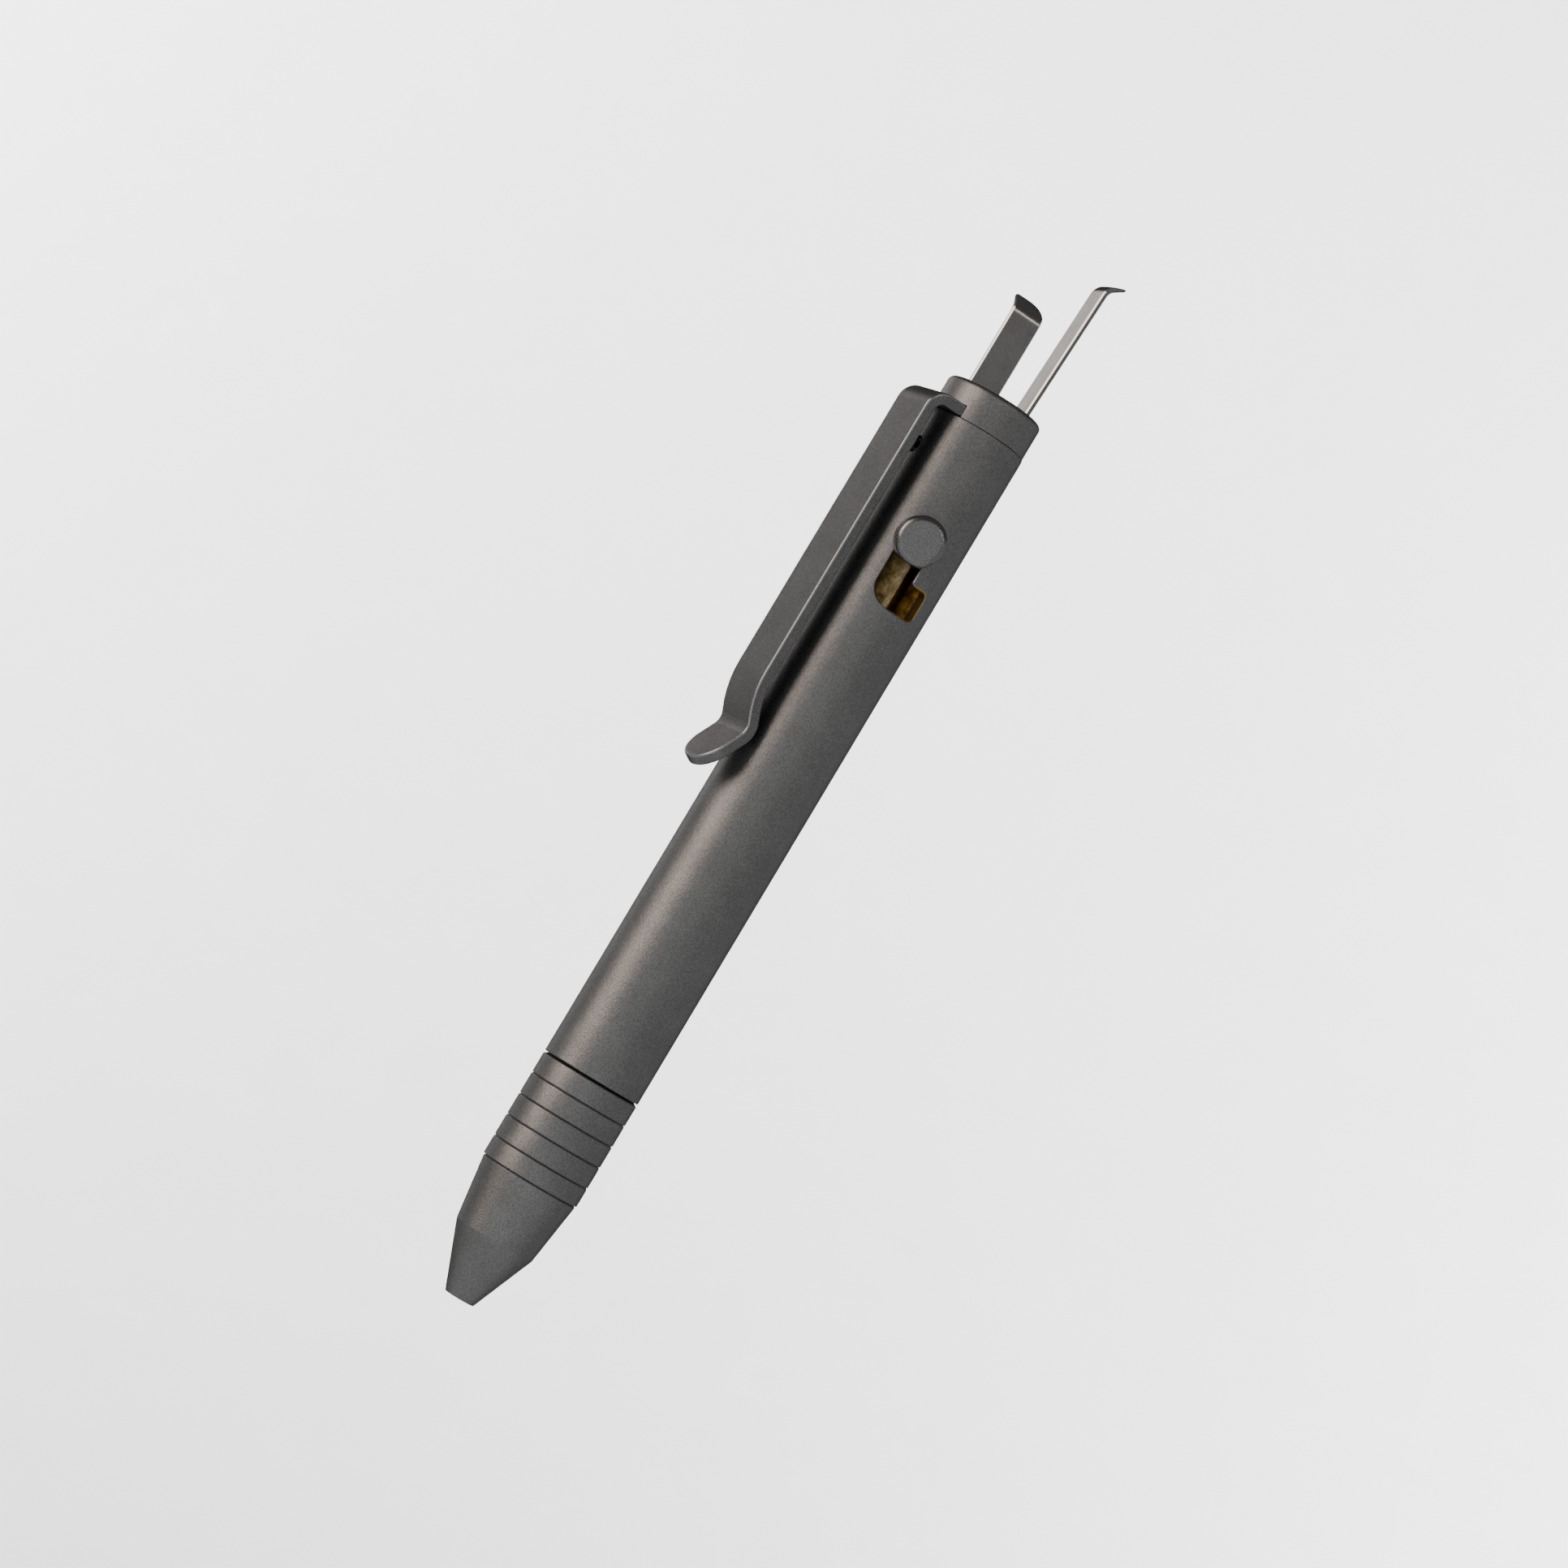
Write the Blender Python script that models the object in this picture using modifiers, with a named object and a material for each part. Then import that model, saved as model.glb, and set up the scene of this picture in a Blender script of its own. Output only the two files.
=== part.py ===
"""Bolt-action ballpoint pen with a pocket clip and two hook blades in its tail cap.

Metres, +Z up, nose down. The origin is on the pen's axis, in the barrel's rear face, where
the clip is clamped. The clip points to -X, and the bolt is a little over a sixth of a turn
from it. The pen is at rest with its writing tip drawn in.
"""

import math

import bmesh
import bpy
from mathutils import Matrix, Vector

MM = 0.001

# Gaps between pieces that touch or slide on the real pen
FACE_GAP = 0.12 * MM
SPIGOT_GAP = 0.15 * MM
CARRIER_GAP = 0.2 * MM
STEM_SLOT_GAP = 0.3 * MM
STEM_HOLE_GAP = 0.12 * MM
RING_GAP = 0.06 * MM
BLADE_GAP = 0.12 * MM
REFILL_GAP = 0.15 * MM
SPRING_GAP = 0.15 * MM
SCREW_GAP = 0.12 * MM
BALL_GAP = 0.07 * MM
CLIP_REST_GAP = 0.3 * MM

# Barrel
BARREL_DIAMETER = 11.0 * MM
BARREL_LENGTH = 76.8 * MM
BARREL_BORE = 8.3 * MM
TAIL_BORE = 9.4 * MM
EDGE_BREAK = 0.12 * MM

# Bolt slot, a J whose foot is turned about the pen's axis
STEM_DIAMETER = 2.8 * MM
BOLT_STROKE = 5.8 * MM
BOLT_REST_DEPTH = 13.2 * MM
BOLT_TURN = math.radians(25)
SLOT_HEEL_ROUND = 2.2 * MM
SLOT_TOE_ROUND = 0.7 * MM
SLOT_CROTCH_ROUND = 0.3 * MM
SLOT_END_ROOM = 0.2 * MM
SLOT_END_FLAT = 0.1 * MM

# Bolt knob and the brass carrier behind it
KNOB_DIAMETER = 5.35 * MM
KNOB_THICKNESS = 2.5 * MM
KNOB_STANDOFF = 0.4 * MM
KNOB_ROUND = 0.68 * MM
STEM_END_RADIUS = 1.1 * MM
CARRIER_LENGTH = 20.0 * MM
CARRIER_TOP_ROOM = 0.5 * MM
CARRIER_CHAMFER = 0.4 * MM
CARRIER_NECK_DIAMETER = 5.2 * MM
CARRIER_NECK_LENGTH = 17.0 * MM

# Grip section
GRIP_LENGTH = 25.8 * MM
GRIP_SEAM = 0.3 * MM
GRIP_SEAM_DEPTH = 0.3 * MM
GRIP_SPIGOT_LENGTH = 8.0 * MM
GRIP_BORE = 2.95 * MM
GRIP_GROOVES = 4
GROOVE_PITCH = 2.46 * MM
GROOVE_WIDTH = 0.34 * MM
GROOVE_DEPTH = 0.22 * MM
CONE_LENGTH = 13.9 * MM
TIP_CONE_LENGTH = 6.95 * MM
CONE_BREAK_DIAMETER = 8.9 * MM
NOSE_DIAMETER = 3.3 * MM
NOSE_BORE = 2.66 * MM
NOSE_BORE_LENGTH = 3.0 * MM

# Seal ring on the grip section's spigot
RING_SECTION = 0.8 * MM
RING_FROM_END = 1.1 * MM

# Tail cap
CAP_DIAMETER = 10.84 * MM
CAP_HEIGHT = 3.93 * MM
CAP_ROUND = 0.6 * MM
CAP_SPIGOT_LENGTH = 5.5 * MM
CAP_SLOT_FLOOR = 0.5 * MM

# Set screw under the clip
SCREW_DIAMETER = 1.7 * MM
SCREW_LENGTH = 1.3 * MM
SCREW_DEPTH = 4.3 * MM
SCREW_SINK = 0.2 * MM
SCREW_SOCKET = 0.9 * MM
SCREW_SOCKET_DEPTH = 0.6 * MM

# Pocket clip
CLIP_ANGLE = math.radians(180)
CLIP_WIDTH = 6.4 * MM
CLIP_THICKNESS = 1.25 * MM
CLIP_OUTER_RADIUS = 8.5 * MM
CLIP_TAB_END_RADIUS = 3.0 * MM
CLIP_TOP_BEND = 2.2 * MM
CLIP_SHOULDER_DEPTH = 35.15 * MM
CLIP_DROP_LENGTH = 3.4 * MM
CLIP_DROP_FLAT = 0.2 * MM
CLIP_REST_BEND = 2.2 * MM
CLIP_PADDLE_LENGTH = 5.5 * MM
CLIP_PADDLE_TILT = math.radians(28.5)
CLIP_END_FLAT = 0.1 * MM
CLIP_CHAMFER = 0.15 * MM

# Places round the axis
BOLT_ANGLE = CLIP_ANGLE + math.radians(67.5)
SHORT_ANGLE = CLIP_ANGLE - math.radians(100)
LONG_ANGLE = CLIP_ANGLE - math.radians(190)

# Hook blades, each with its reach from the axis and its shift along its own width
BLADE_WIDTH = 3.6 * MM
BLADE_THICKNESS = 0.58 * MM
BLADE_EDGE = 0.1 * MM
BLADE_BEND = 1.4 * MM
SHORT_REACH = 2.85 * MM
SHORT_SHIFT = 0.95 * MM
SHORT_RISE = 9.66 * MM
SHORT_TIP = 2.4 * MM
SHORT_TIP_TILT = math.radians(42.5)
SHORT_LEAN = math.radians(0)
SHORT_ROUND_NEAR = 1.7 * MM
SHORT_ROUND_FAR = 0.65 * MM
LONG_REACH = 3.05 * MM
LONG_SHIFT = 0 * MM
LONG_RISE = 15.74 * MM
LONG_TIP = 2.1 * MM
LONG_TIP_TILT = math.radians(53)
LONG_LEAN = math.radians(2.3)
LONG_ROUND = 0.4 * MM

# Short metal refill and its spring
REFILL_LENGTH = 67.0 * MM
REFILL_DIAMETER = 2.35 * MM
REFILL_WALL = 0.32 * MM
TIP_DRAWN_IN = 1.2 * MM
BALL_DIAMETER = 0.76 * MM
BALL_PROUD = 0.28 * MM
TIP_LENGTH = 5.6 * MM
TIP_CONE = 3.2 * MM
TIP_RIM_WALL = 0.08 * MM
TIP_CHANNEL = 0.4 * MM
PLUG_HEAD = 1.0 * MM
PLUG_SPIGOT = 3.0 * MM
TIP_SPIGOT = 2.5 * MM
WIRE_DIAMETER = 0.4 * MM
SPRING_TURNS = 12

# Facets
BODY_STEPS = 64
GRIP_STEPS = 56
SMALL_STEPS = 24
KNOB_STEPS = 40
ARC_STEPS = 6
CURL_POINTS = 9

# Heights worked out from the sizes above
BARREL_RADIUS = BARREL_DIAMETER / 2
BORE_RADIUS = BARREL_BORE / 2
GRIP_TOP = -BARREL_LENGTH - GRIP_SEAM
NOSE_END = GRIP_TOP - GRIP_LENGTH
SPIGOT_TOP = GRIP_TOP + GRIP_SPIGOT_LENGTH
CAP_FACE = FACE_GAP
CAP_TOP = CAP_FACE + CAP_HEIGHT
CAP_SPIGOT_END = -CAP_SPIGOT_LENGTH
CAP_SPIGOT_RADIUS = TAIL_BORE / 2 - SPIGOT_GAP
TAB_TOP = FACE_GAP + CLIP_THICKNESS
CLIP_SHOULDER = -CLIP_SHOULDER_DEPTH
CLIP_REST = CLIP_SHOULDER - CLIP_DROP_LENGTH
CLIP_END = CLIP_REST - CLIP_PADDLE_LENGTH
BOLT_REST = -BOLT_REST_DEPTH
CARRIER_TOP = CAP_SPIGOT_END - CARRIER_TOP_ROOM
CARRIER_FOOT = CARRIER_TOP - CARRIER_LENGTH
NECK_END = CARRIER_FOOT - CARRIER_NECK_LENGTH
BALL_END = NOSE_END + TIP_DRAWN_IN
REFILL_END = BALL_END + REFILL_LENGTH
TIP_RIM = BALL_END + BALL_PROUD
TIP_SHOULDER = TIP_RIM + TIP_LENGTH
REFILL_BORE_RADIUS = REFILL_DIAMETER / 2 - REFILL_WALL
PLUG_SHOULDER = REFILL_END - PLUG_HEAD
BALL_CUP_RADIUS = BALL_DIAMETER / 2 + BALL_GAP


def clear_scene():
    for obj in list(bpy.data.objects):
        bpy.data.objects.remove(obj, do_unlink=True)


def new_collection(name):
    collection = bpy.data.collections.new(name)
    bpy.context.scene.collection.children.link(collection)
    return collection


def principled(name, colour, roughness, metallic):
    material = bpy.data.materials.new(name)
    material.use_nodes = True
    shader = material.node_tree.nodes["Principled BSDF"]
    shader.inputs["Base Color"].default_value = (*colour, 1)
    shader.inputs["Roughness"].default_value = roughness
    shader.inputs["Metallic"].default_value = metallic
    return material


clear_scene()
PEN = new_collection("bolt_action_pen")
CUTTERS = new_collection("cutters")

TITANIUM = principled("blasted_titanium", (0.115, 0.11, 0.105), 0.5, 1)
KNOB_TITANIUM = principled("turned_titanium", (0.16, 0.155, 0.15), 0.42, 1)
CLIP_TITANIUM = principled("milled_titanium", (0.13, 0.125, 0.125), 0.5, 1)
STEEL = principled("polished_steel", (0.56, 0.55, 0.53), 0.2, 1)
BRASS = principled("worn_brass", (0.62, 0.42, 0.16), 0.32, 1)
SPRING_STEEL = principled("spring_steel", (0.6, 0.6, 0.6), 0.3, 1)
BLACK_STEEL = principled("black_steel", (0.03, 0.03, 0.03), 0.45, 1)
RUBBER = principled("black_rubber", (0.02, 0.02, 0.02), 0.7, 0)
NICKEL = principled("nickel_silver", (0.7, 0.66, 0.58), 0.25, 1)
CARBIDE = principled("carbide", (0.35, 0.35, 0.36), 0.2, 1)
PLUG_PLASTIC = principled("white_plastic", (0.75, 0.75, 0.72), 0.5, 0)


def new_empty(name):
    empty = bpy.data.objects.new(name, None)
    PEN.objects.link(empty)
    return empty


def add_object(name, data, material, parent):
    """A named piece of the pen, under the empty that it moves with."""
    obj = bpy.data.objects.new(name, data)
    PEN.objects.link(obj)
    data.materials.append(material)
    obj.parent = parent
    return obj


def add_cutter(name, data):
    obj = bpy.data.objects.new(name, data)
    CUTTERS.objects.link(obj)
    obj.display_type = "WIRE"
    obj.hide_render = True
    return obj


def cut(obj, cutter):
    boolean = obj.modifiers.new(cutter.name, "BOOLEAN")
    boolean.operation = "DIFFERENCE"
    boolean.solver = "EXACT"
    boolean.object = cutter


def filleted(points, radii):
    """The corners joined up, with an arc of its own radius at each corner that has one."""
    out = []
    for index, (corner, radius) in enumerate(zip(points, radii)):
        here = Vector(corner)
        if not radius:
            out.append(here)
            continue
        before = (Vector(points[index - 1]) - here).normalized()
        after = (Vector(points[(index + 1) % len(points)]) - here).normalized()
        half = before.angle(after) / 2
        centre = here + (before + after).normalized() * (radius / math.sin(half))
        spoke = here + before * (radius / math.tan(half)) - centre
        last = here + after * (radius / math.tan(half)) - centre
        sweep = math.atan2(spoke.x * last.y - spoke.y * last.x, spoke.dot(last))
        for step in range(ARC_STEPS + 1):
            out.append(centre + Matrix.Rotation(sweep * step / ARC_STEPS, 2) @ spoke)
    return out


def profile_mesh(name, profile, closed):
    """A turned profile as (radius, height) points, at +X, for a Screw modifier."""
    mesh = bpy.data.meshes.new(name)
    count = len(profile)
    edges = [(i, i + 1) for i in range(count - 1)]
    if closed:
        edges.append((count - 1, 0))
    mesh.from_pydata([(radius, 0, height) for radius, height in profile], edges, [])
    return mesh


def turn(obj, steps):
    screw = obj.modifiers.new("turn", "SCREW")
    screw.axis = "Z"
    screw.steps = steps
    screw.render_steps = steps
    screw.use_merge_vertices = True
    screw.merge_threshold = 1e-6
    screw.use_smooth_shade = True


def turned(name, profile, steps, material, parent, closed=True):
    obj = add_object(name, profile_mesh(name, profile, closed), material, parent)
    turn(obj, steps)
    return obj


def turned_cutter(name, profile, steps):
    obj = add_cutter(name, profile_mesh(name, profile, False))
    turn(obj, steps)
    return obj


def rod_profile(radius, low, high):
    return [(0, high), (radius, high), (radius, low), (0, low)]


def aim_outward(obj, angle, height):
    """Turns a piece so that its own +Z points straight out from the pen's axis."""
    obj.location = (0, 0, height)
    obj.rotation_euler = (0, math.pi / 2, angle)


def box_cutter(name, low, high):
    mesh = bpy.data.meshes.new(name)
    bm = bmesh.new()
    bmesh.ops.create_cube(bm, size=1)
    size = Vector(high) - Vector(low)
    middle = (Vector(high) + Vector(low)) / 2
    bmesh.ops.scale(bm, vec=size, verts=bm.verts)
    bmesh.ops.translate(bm, vec=middle, verts=bm.verts)
    bm.to_mesh(mesh)
    bm.free()
    return add_cutter(name, mesh)


def strip_mesh(name, path, width, end_rounds):
    """A flat strip bent along a path in its own XZ plane, with its last two corners rounded."""
    bm = bmesh.new()
    rows = []
    for x, z in path:
        rows.append([bm.verts.new((x, side * width / 2, z)) for side in (-1, 1)])
    for low, high in zip(rows, rows[1:]):
        bm.faces.new((low[0], low[1], high[1], high[0]))
    for corner, radius in zip(rows[-1], end_rounds):
        bmesh.ops.bevel(
            bm, geom=[corner], offset=radius, segments=ARC_STEPS, profile=0.5, affect="VERTICES"
        )
    mesh = bpy.data.meshes.new(name)
    bm.to_mesh(mesh)
    bm.free()
    return mesh


def thicken(obj, thickness):
    solidify = obj.modifiers.new("thickness", "SOLIDIFY")
    solidify.thickness = thickness
    solidify.offset = 0
    solidify.use_even_offset = True


def chamfer(obj, width):
    bevel = obj.modifiers.new("chamfer", "BEVEL")
    bevel.width = width
    bevel.segments = 1
    bevel.limit_method = "ANGLE"
    bevel.angle_limit = math.radians(50)


def groove(radius, height, width, depth, next_radius):
    """Points down a turned groove with sloped walls, ending at the radius below it."""
    return [
        (radius, height + width / 2),
        (radius - depth, height + width / 6),
        (radius - depth, height - width / 6),
        (next_radius, height - width / 2),
    ]


def slot_outline():
    """The J slot laid flat: distance round the barrel to the right, and height."""
    half = STEM_DIAMETER / 2 + STEM_SLOT_GAP
    top = BOLT_REST + STEM_DIAMETER / 2 + SLOT_END_ROOM
    bottom = BOLT_REST - BOLT_STROKE - STEM_DIAMETER / 2 - SLOT_END_ROOM
    foot_top = bottom + STEM_DIAMETER + 2 * STEM_SLOT_GAP
    toe = half + BARREL_RADIUS * BOLT_TURN
    corners = [
        (-half, top),
        (half, top),
        (half, foot_top),
        (toe, foot_top),
        (toe, bottom),
        (-half, bottom),
    ]
    end_round = half - SLOT_END_FLAT / 2
    toe_rounds = [SLOT_TOE_ROUND, SLOT_TOE_ROUND]
    return filleted(corners, [end_round, end_round, SLOT_CROTCH_ROUND, *toe_rounds, SLOT_HEEL_ROUND])


def slot_cutter():
    """The J slot as a mill cuts it: its walls run parallel to the stem, which turns in the foot."""
    half = STEM_DIAMETER / 2 + STEM_SLOT_GAP
    inside = BORE_RADIUS * 0.6
    outside = BARREL_RADIUS * 1.5
    bm = bmesh.new()
    rings = {inside: [], outside: []}
    for along, height in slot_outline():
        turned_by = max(0, along - half) / BARREL_RADIUS
        sideways = min(along, half)
        spin = Matrix.Rotation(BOLT_ANGLE + turned_by, 3, "Z")
        for reach, ring in rings.items():
            ring.append(bm.verts.new(spin @ Vector((reach, sideways, height))))
    bm.faces.new(rings[inside])
    bm.faces.new(rings[outside])
    count = len(rings[inside])
    for i in range(count):
        j = (i + 1) % count
        bm.faces.new((rings[inside][i], rings[inside][j], rings[outside][j], rings[outside][i]))
    bmesh.ops.recalc_face_normals(bm, faces=bm.faces)
    mesh = bpy.data.meshes.new("bolt_slot")
    bm.to_mesh(mesh)
    bm.free()
    return add_cutter("bolt_slot", mesh)


def radial_hole_cutter(name, radius, inner, outer, angle, height):
    hole = turned_cutter(name, rod_profile(radius, inner, outer), SMALL_STEPS)
    aim_outward(hole, angle, height)
    return hole


def make_barrel(parent):
    outer = BARREL_RADIUS
    tail_bore_end = CAP_SPIGOT_END - SPIGOT_GAP
    profile = [
        (outer - EDGE_BREAK, 0),
        (outer, -EDGE_BREAK),
        (outer, -BARREL_LENGTH + EDGE_BREAK),
        (outer - EDGE_BREAK, -BARREL_LENGTH),
        (BORE_RADIUS, -BARREL_LENGTH),
        (BORE_RADIUS, tail_bore_end),
        (TAIL_BORE / 2, tail_bore_end),
        (TAIL_BORE / 2, 0),
    ]
    barrel = turned("barrel", profile, BODY_STEPS, TITANIUM, parent)
    cut(barrel, slot_cutter())
    hole_radius = SCREW_DIAMETER / 2 + SCREW_GAP
    hole = radial_hole_cutter(
        "screw_hole", hole_radius, BORE_RADIUS * 0.6, outer * 1.2, CLIP_ANGLE, -SCREW_DEPTH
    )
    cut(barrel, hole)


def make_grip(parent):
    outer = BARREL_RADIUS
    spigot = BORE_RADIUS - SPIGOT_GAP
    collar = BARREL_RADIUS - GRIP_SEAM_DEPTH
    collar_top = -BARREL_LENGTH - FACE_GAP
    ring_height = SPIGOT_TOP - RING_FROM_END
    ring_room = RING_SECTION / 2 + RING_GAP
    ring_floor = BORE_RADIUS - RING_SECTION - 2 * RING_GAP
    cone_top = NOSE_END + CONE_LENGTH
    seam = -BARREL_LENGTH - GRIP_SEAM / 2
    profile = [
        (spigot - EDGE_BREAK, SPIGOT_TOP),
        (spigot, SPIGOT_TOP - EDGE_BREAK),
        (spigot, ring_height + ring_room),
        (ring_floor, ring_height + ring_room),
        (ring_floor, ring_height - ring_room),
        (spigot, ring_height - ring_room),
        (spigot, collar_top),
        (collar, collar_top),
        (collar, GRIP_TOP),
        (outer - EDGE_BREAK, GRIP_TOP),
        (outer, GRIP_TOP - EDGE_BREAK),
    ]
    for number in range(1, GRIP_GROOVES + 1):
        profile += groove(outer, seam - number * GROOVE_PITCH, GROOVE_WIDTH, GROOVE_DEPTH, outer)
    profile += groove(outer, cone_top, GROOVE_WIDTH, GROOVE_DEPTH, outer - EDGE_BREAK)
    profile += [
        (CONE_BREAK_DIAMETER / 2, NOSE_END + TIP_CONE_LENGTH),
        (NOSE_DIAMETER / 2, NOSE_END + EDGE_BREAK),
        (NOSE_DIAMETER / 2 - EDGE_BREAK, NOSE_END),
        (NOSE_BORE / 2, NOSE_END),
        (NOSE_BORE / 2, NOSE_END + NOSE_BORE_LENGTH),
        (GRIP_BORE / 2, NOSE_END + NOSE_BORE_LENGTH + EDGE_BREAK),
        (GRIP_BORE / 2, SPIGOT_TOP),
    ]
    turned("grip_section", profile, GRIP_STEPS, TITANIUM, parent)


def make_grip_ring(parent):
    section = RING_SECTION / 2
    middle = BORE_RADIUS - RING_GAP - section
    height = SPIGOT_TOP - RING_FROM_END
    sides = 2 * ARC_STEPS
    profile = []
    for step in range(sides):
        angle = -2 * math.pi * step / sides
        profile.append((middle + section * math.cos(angle), height + section * math.sin(angle)))
    turned("grip_o_ring", profile, KNOB_STEPS, RUBBER, parent)


def make_cap(parent):
    outer = CAP_DIAMETER / 2
    corners = [
        (0, CAP_TOP),
        (outer, CAP_TOP),
        (outer, CAP_FACE + EDGE_BREAK),
        (outer - EDGE_BREAK, CAP_FACE),
        (CAP_SPIGOT_RADIUS, CAP_FACE),
        (CAP_SPIGOT_RADIUS, CAP_SPIGOT_END + EDGE_BREAK),
        (CAP_SPIGOT_RADIUS - EDGE_BREAK, CAP_SPIGOT_END),
        (0, CAP_SPIGOT_END),
    ]
    profile = filleted(corners, [0, CAP_ROUND, 0, 0, 0, 0, 0, 0])
    cap = turned("tail_cap", profile, BODY_STEPS, TITANIUM, parent, closed=False)
    half = CLIP_WIDTH / 2 + FACE_GAP
    notch = box_cutter(
        "clip_notch",
        (CLIP_TAB_END_RADIUS - FACE_GAP, -half, 0),
        (CAP_DIAMETER, half, TAB_TOP + FACE_GAP),
    )
    notch.rotation_euler = (0, 0, CLIP_ANGLE)
    cut(cap, notch)
    dimple_radius = SCREW_DIAMETER / 2 + SCREW_GAP
    dimple_floor = BARREL_RADIUS - SCREW_SINK - SCREW_LENGTH - SCREW_GAP
    dimple = radial_hole_cutter(
        "screw_dimple", dimple_radius, dimple_floor, BARREL_RADIUS, CLIP_ANGLE, -SCREW_DEPTH
    )
    cut(cap, dimple)
    cut(cap, blade_slot("short_slot", SHORT_REACH, SHORT_SHIFT, SHORT_ANGLE, SHORT_LEAN))
    cut(cap, blade_slot("long_slot", LONG_REACH, LONG_SHIFT, LONG_ANGLE, LONG_LEAN))


def make_screw(parent):
    outer_end = BARREL_RADIUS - SCREW_SINK
    profile = rod_profile(SCREW_DIAMETER / 2, outer_end - SCREW_LENGTH, outer_end)
    screw = turned("cap_set_screw", profile, SMALL_STEPS, BLACK_STEEL, parent, closed=False)
    aim_outward(screw, CLIP_ANGLE, -SCREW_DEPTH)
    corner_radius = SCREW_SOCKET / 2 / math.cos(math.pi / 6)
    socket_floor = outer_end - SCREW_SOCKET_DEPTH
    socket = turned_cutter(
        "screw_socket", rod_profile(corner_radius, socket_floor, BARREL_RADIUS), 6
    )
    aim_outward(socket, CLIP_ANGLE, -SCREW_DEPTH)
    cut(screw, socket)


def make_clip(parent):
    half = CLIP_THICKNESS / 2
    leg = CLIP_OUTER_RADIUS - half
    tab = FACE_GAP + half
    corner_cut = CLIP_REST_BEND / math.cos(CLIP_PADDLE_TILT) - CLIP_REST_BEND
    rest = BARREL_RADIUS + CLIP_REST_GAP + half - corner_cut
    corners = [
        (CLIP_TAB_END_RADIUS, tab),
        (leg, tab),
        (leg, CLIP_SHOULDER),
        (rest, CLIP_REST),
        (rest + CLIP_PADDLE_LENGTH * math.tan(CLIP_PADDLE_TILT), CLIP_END),
    ]
    drop_tilt = math.atan2(leg - rest, CLIP_DROP_LENGTH)
    drop = math.hypot(leg - rest, CLIP_DROP_LENGTH)
    shoulder_room = drop - CLIP_DROP_FLAT - CLIP_REST_BEND * math.tan((drop_tilt + CLIP_PADDLE_TILT) / 2)
    shoulder_bend = shoulder_room / math.tan(drop_tilt / 2)
    path = filleted(corners, [0, CLIP_TOP_BEND - half, shoulder_bend, CLIP_REST_BEND, 0])
    end_round = (CLIP_WIDTH - CLIP_END_FLAT) / 2
    mesh = strip_mesh("pocket_clip", path, CLIP_WIDTH, (end_round, end_round))
    clip = add_object("pocket_clip", mesh, CLIP_TITANIUM, parent)
    clip.rotation_euler = (0, 0, CLIP_ANGLE)
    thicken(clip, CLIP_THICKNESS)
    chamfer(clip, CLIP_CHAMFER)


def blade_depth():
    """How far a blade reaches below the cap's top face."""
    return CAP_TOP - CAP_SPIGOT_END - CAP_SLOT_FLOOR - FACE_GAP


def place_blade(obj, reach, shift, angle, lean):
    """A blade's own origin is where its shank leaves the cap, on the line that it slides along."""
    obj.location = Matrix.Rotation(angle, 3, "Z") @ Vector((reach, shift, CAP_TOP))
    obj.rotation_euler = (0, lean, angle)


def blade_slot(name, reach, shift, angle, lean):
    across = BLADE_THICKNESS / 2 + BLADE_GAP
    along = BLADE_WIDTH / 2 + BLADE_GAP
    floor = -blade_depth() - FACE_GAP
    slot = box_cutter(name, (-across, -along, floor), (across, along, CAP_HEIGHT))
    place_blade(slot, reach, shift, angle, lean)
    return slot


def make_blade(name, joint, rise, tip, tilt, rounds):
    corners = [
        (0, -blade_depth()),
        (0, rise),
        (tip * math.sin(tilt), rise + tip * math.cos(tilt)),
    ]
    path = filleted(corners, [0, BLADE_BEND, 0])
    blade = add_object(name, strip_mesh(name, path, BLADE_WIDTH, rounds), STEEL, joint)
    thicken(blade, BLADE_THICKNESS)
    chamfer(blade, BLADE_EDGE)


def make_carrier(parent):
    outer = BORE_RADIUS - CARRIER_GAP
    neck = CARRIER_NECK_DIAMETER / 2
    socket = REFILL_DIAMETER / 2 + REFILL_GAP
    profile = [
        (0, CARRIER_TOP),
        (outer - CARRIER_CHAMFER, CARRIER_TOP),
        (outer, CARRIER_TOP - CARRIER_CHAMFER),
        (outer, CARRIER_FOOT + CARRIER_CHAMFER),
        (outer - CARRIER_CHAMFER, CARRIER_FOOT),
        (neck, CARRIER_FOOT),
        (neck, NECK_END),
        (socket, NECK_END),
        (socket, REFILL_END + REFILL_GAP),
        (0, REFILL_END + REFILL_GAP),
    ]
    carrier = turned("bolt_carrier", profile, BODY_STEPS, BRASS, parent, closed=False)
    hole = radial_hole_cutter(
        "stem_hole",
        STEM_DIAMETER / 2 + STEM_HOLE_GAP,
        STEM_END_RADIUS - STEM_HOLE_GAP,
        BARREL_RADIUS,
        BOLT_ANGLE,
        BOLT_REST,
    )
    cut(carrier, hole)


def make_knob(parent):
    under = BARREL_RADIUS + KNOB_STANDOFF
    face = under + KNOB_THICKNESS
    radius = KNOB_DIAMETER / 2
    stem = STEM_DIAMETER / 2
    corners = [
        (0, face),
        (radius, face),
        (radius, under),
        (stem, under),
        (stem, STEM_END_RADIUS),
        (0, STEM_END_RADIUS),
    ]
    profile = filleted(corners, [0, KNOB_ROUND, EDGE_BREAK, 0, 0, 0])
    knob = turned("bolt_knob", profile, KNOB_STEPS, KNOB_TITANIUM, parent, closed=False)
    aim_outward(knob, BOLT_ANGLE, BOLT_REST)


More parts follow.
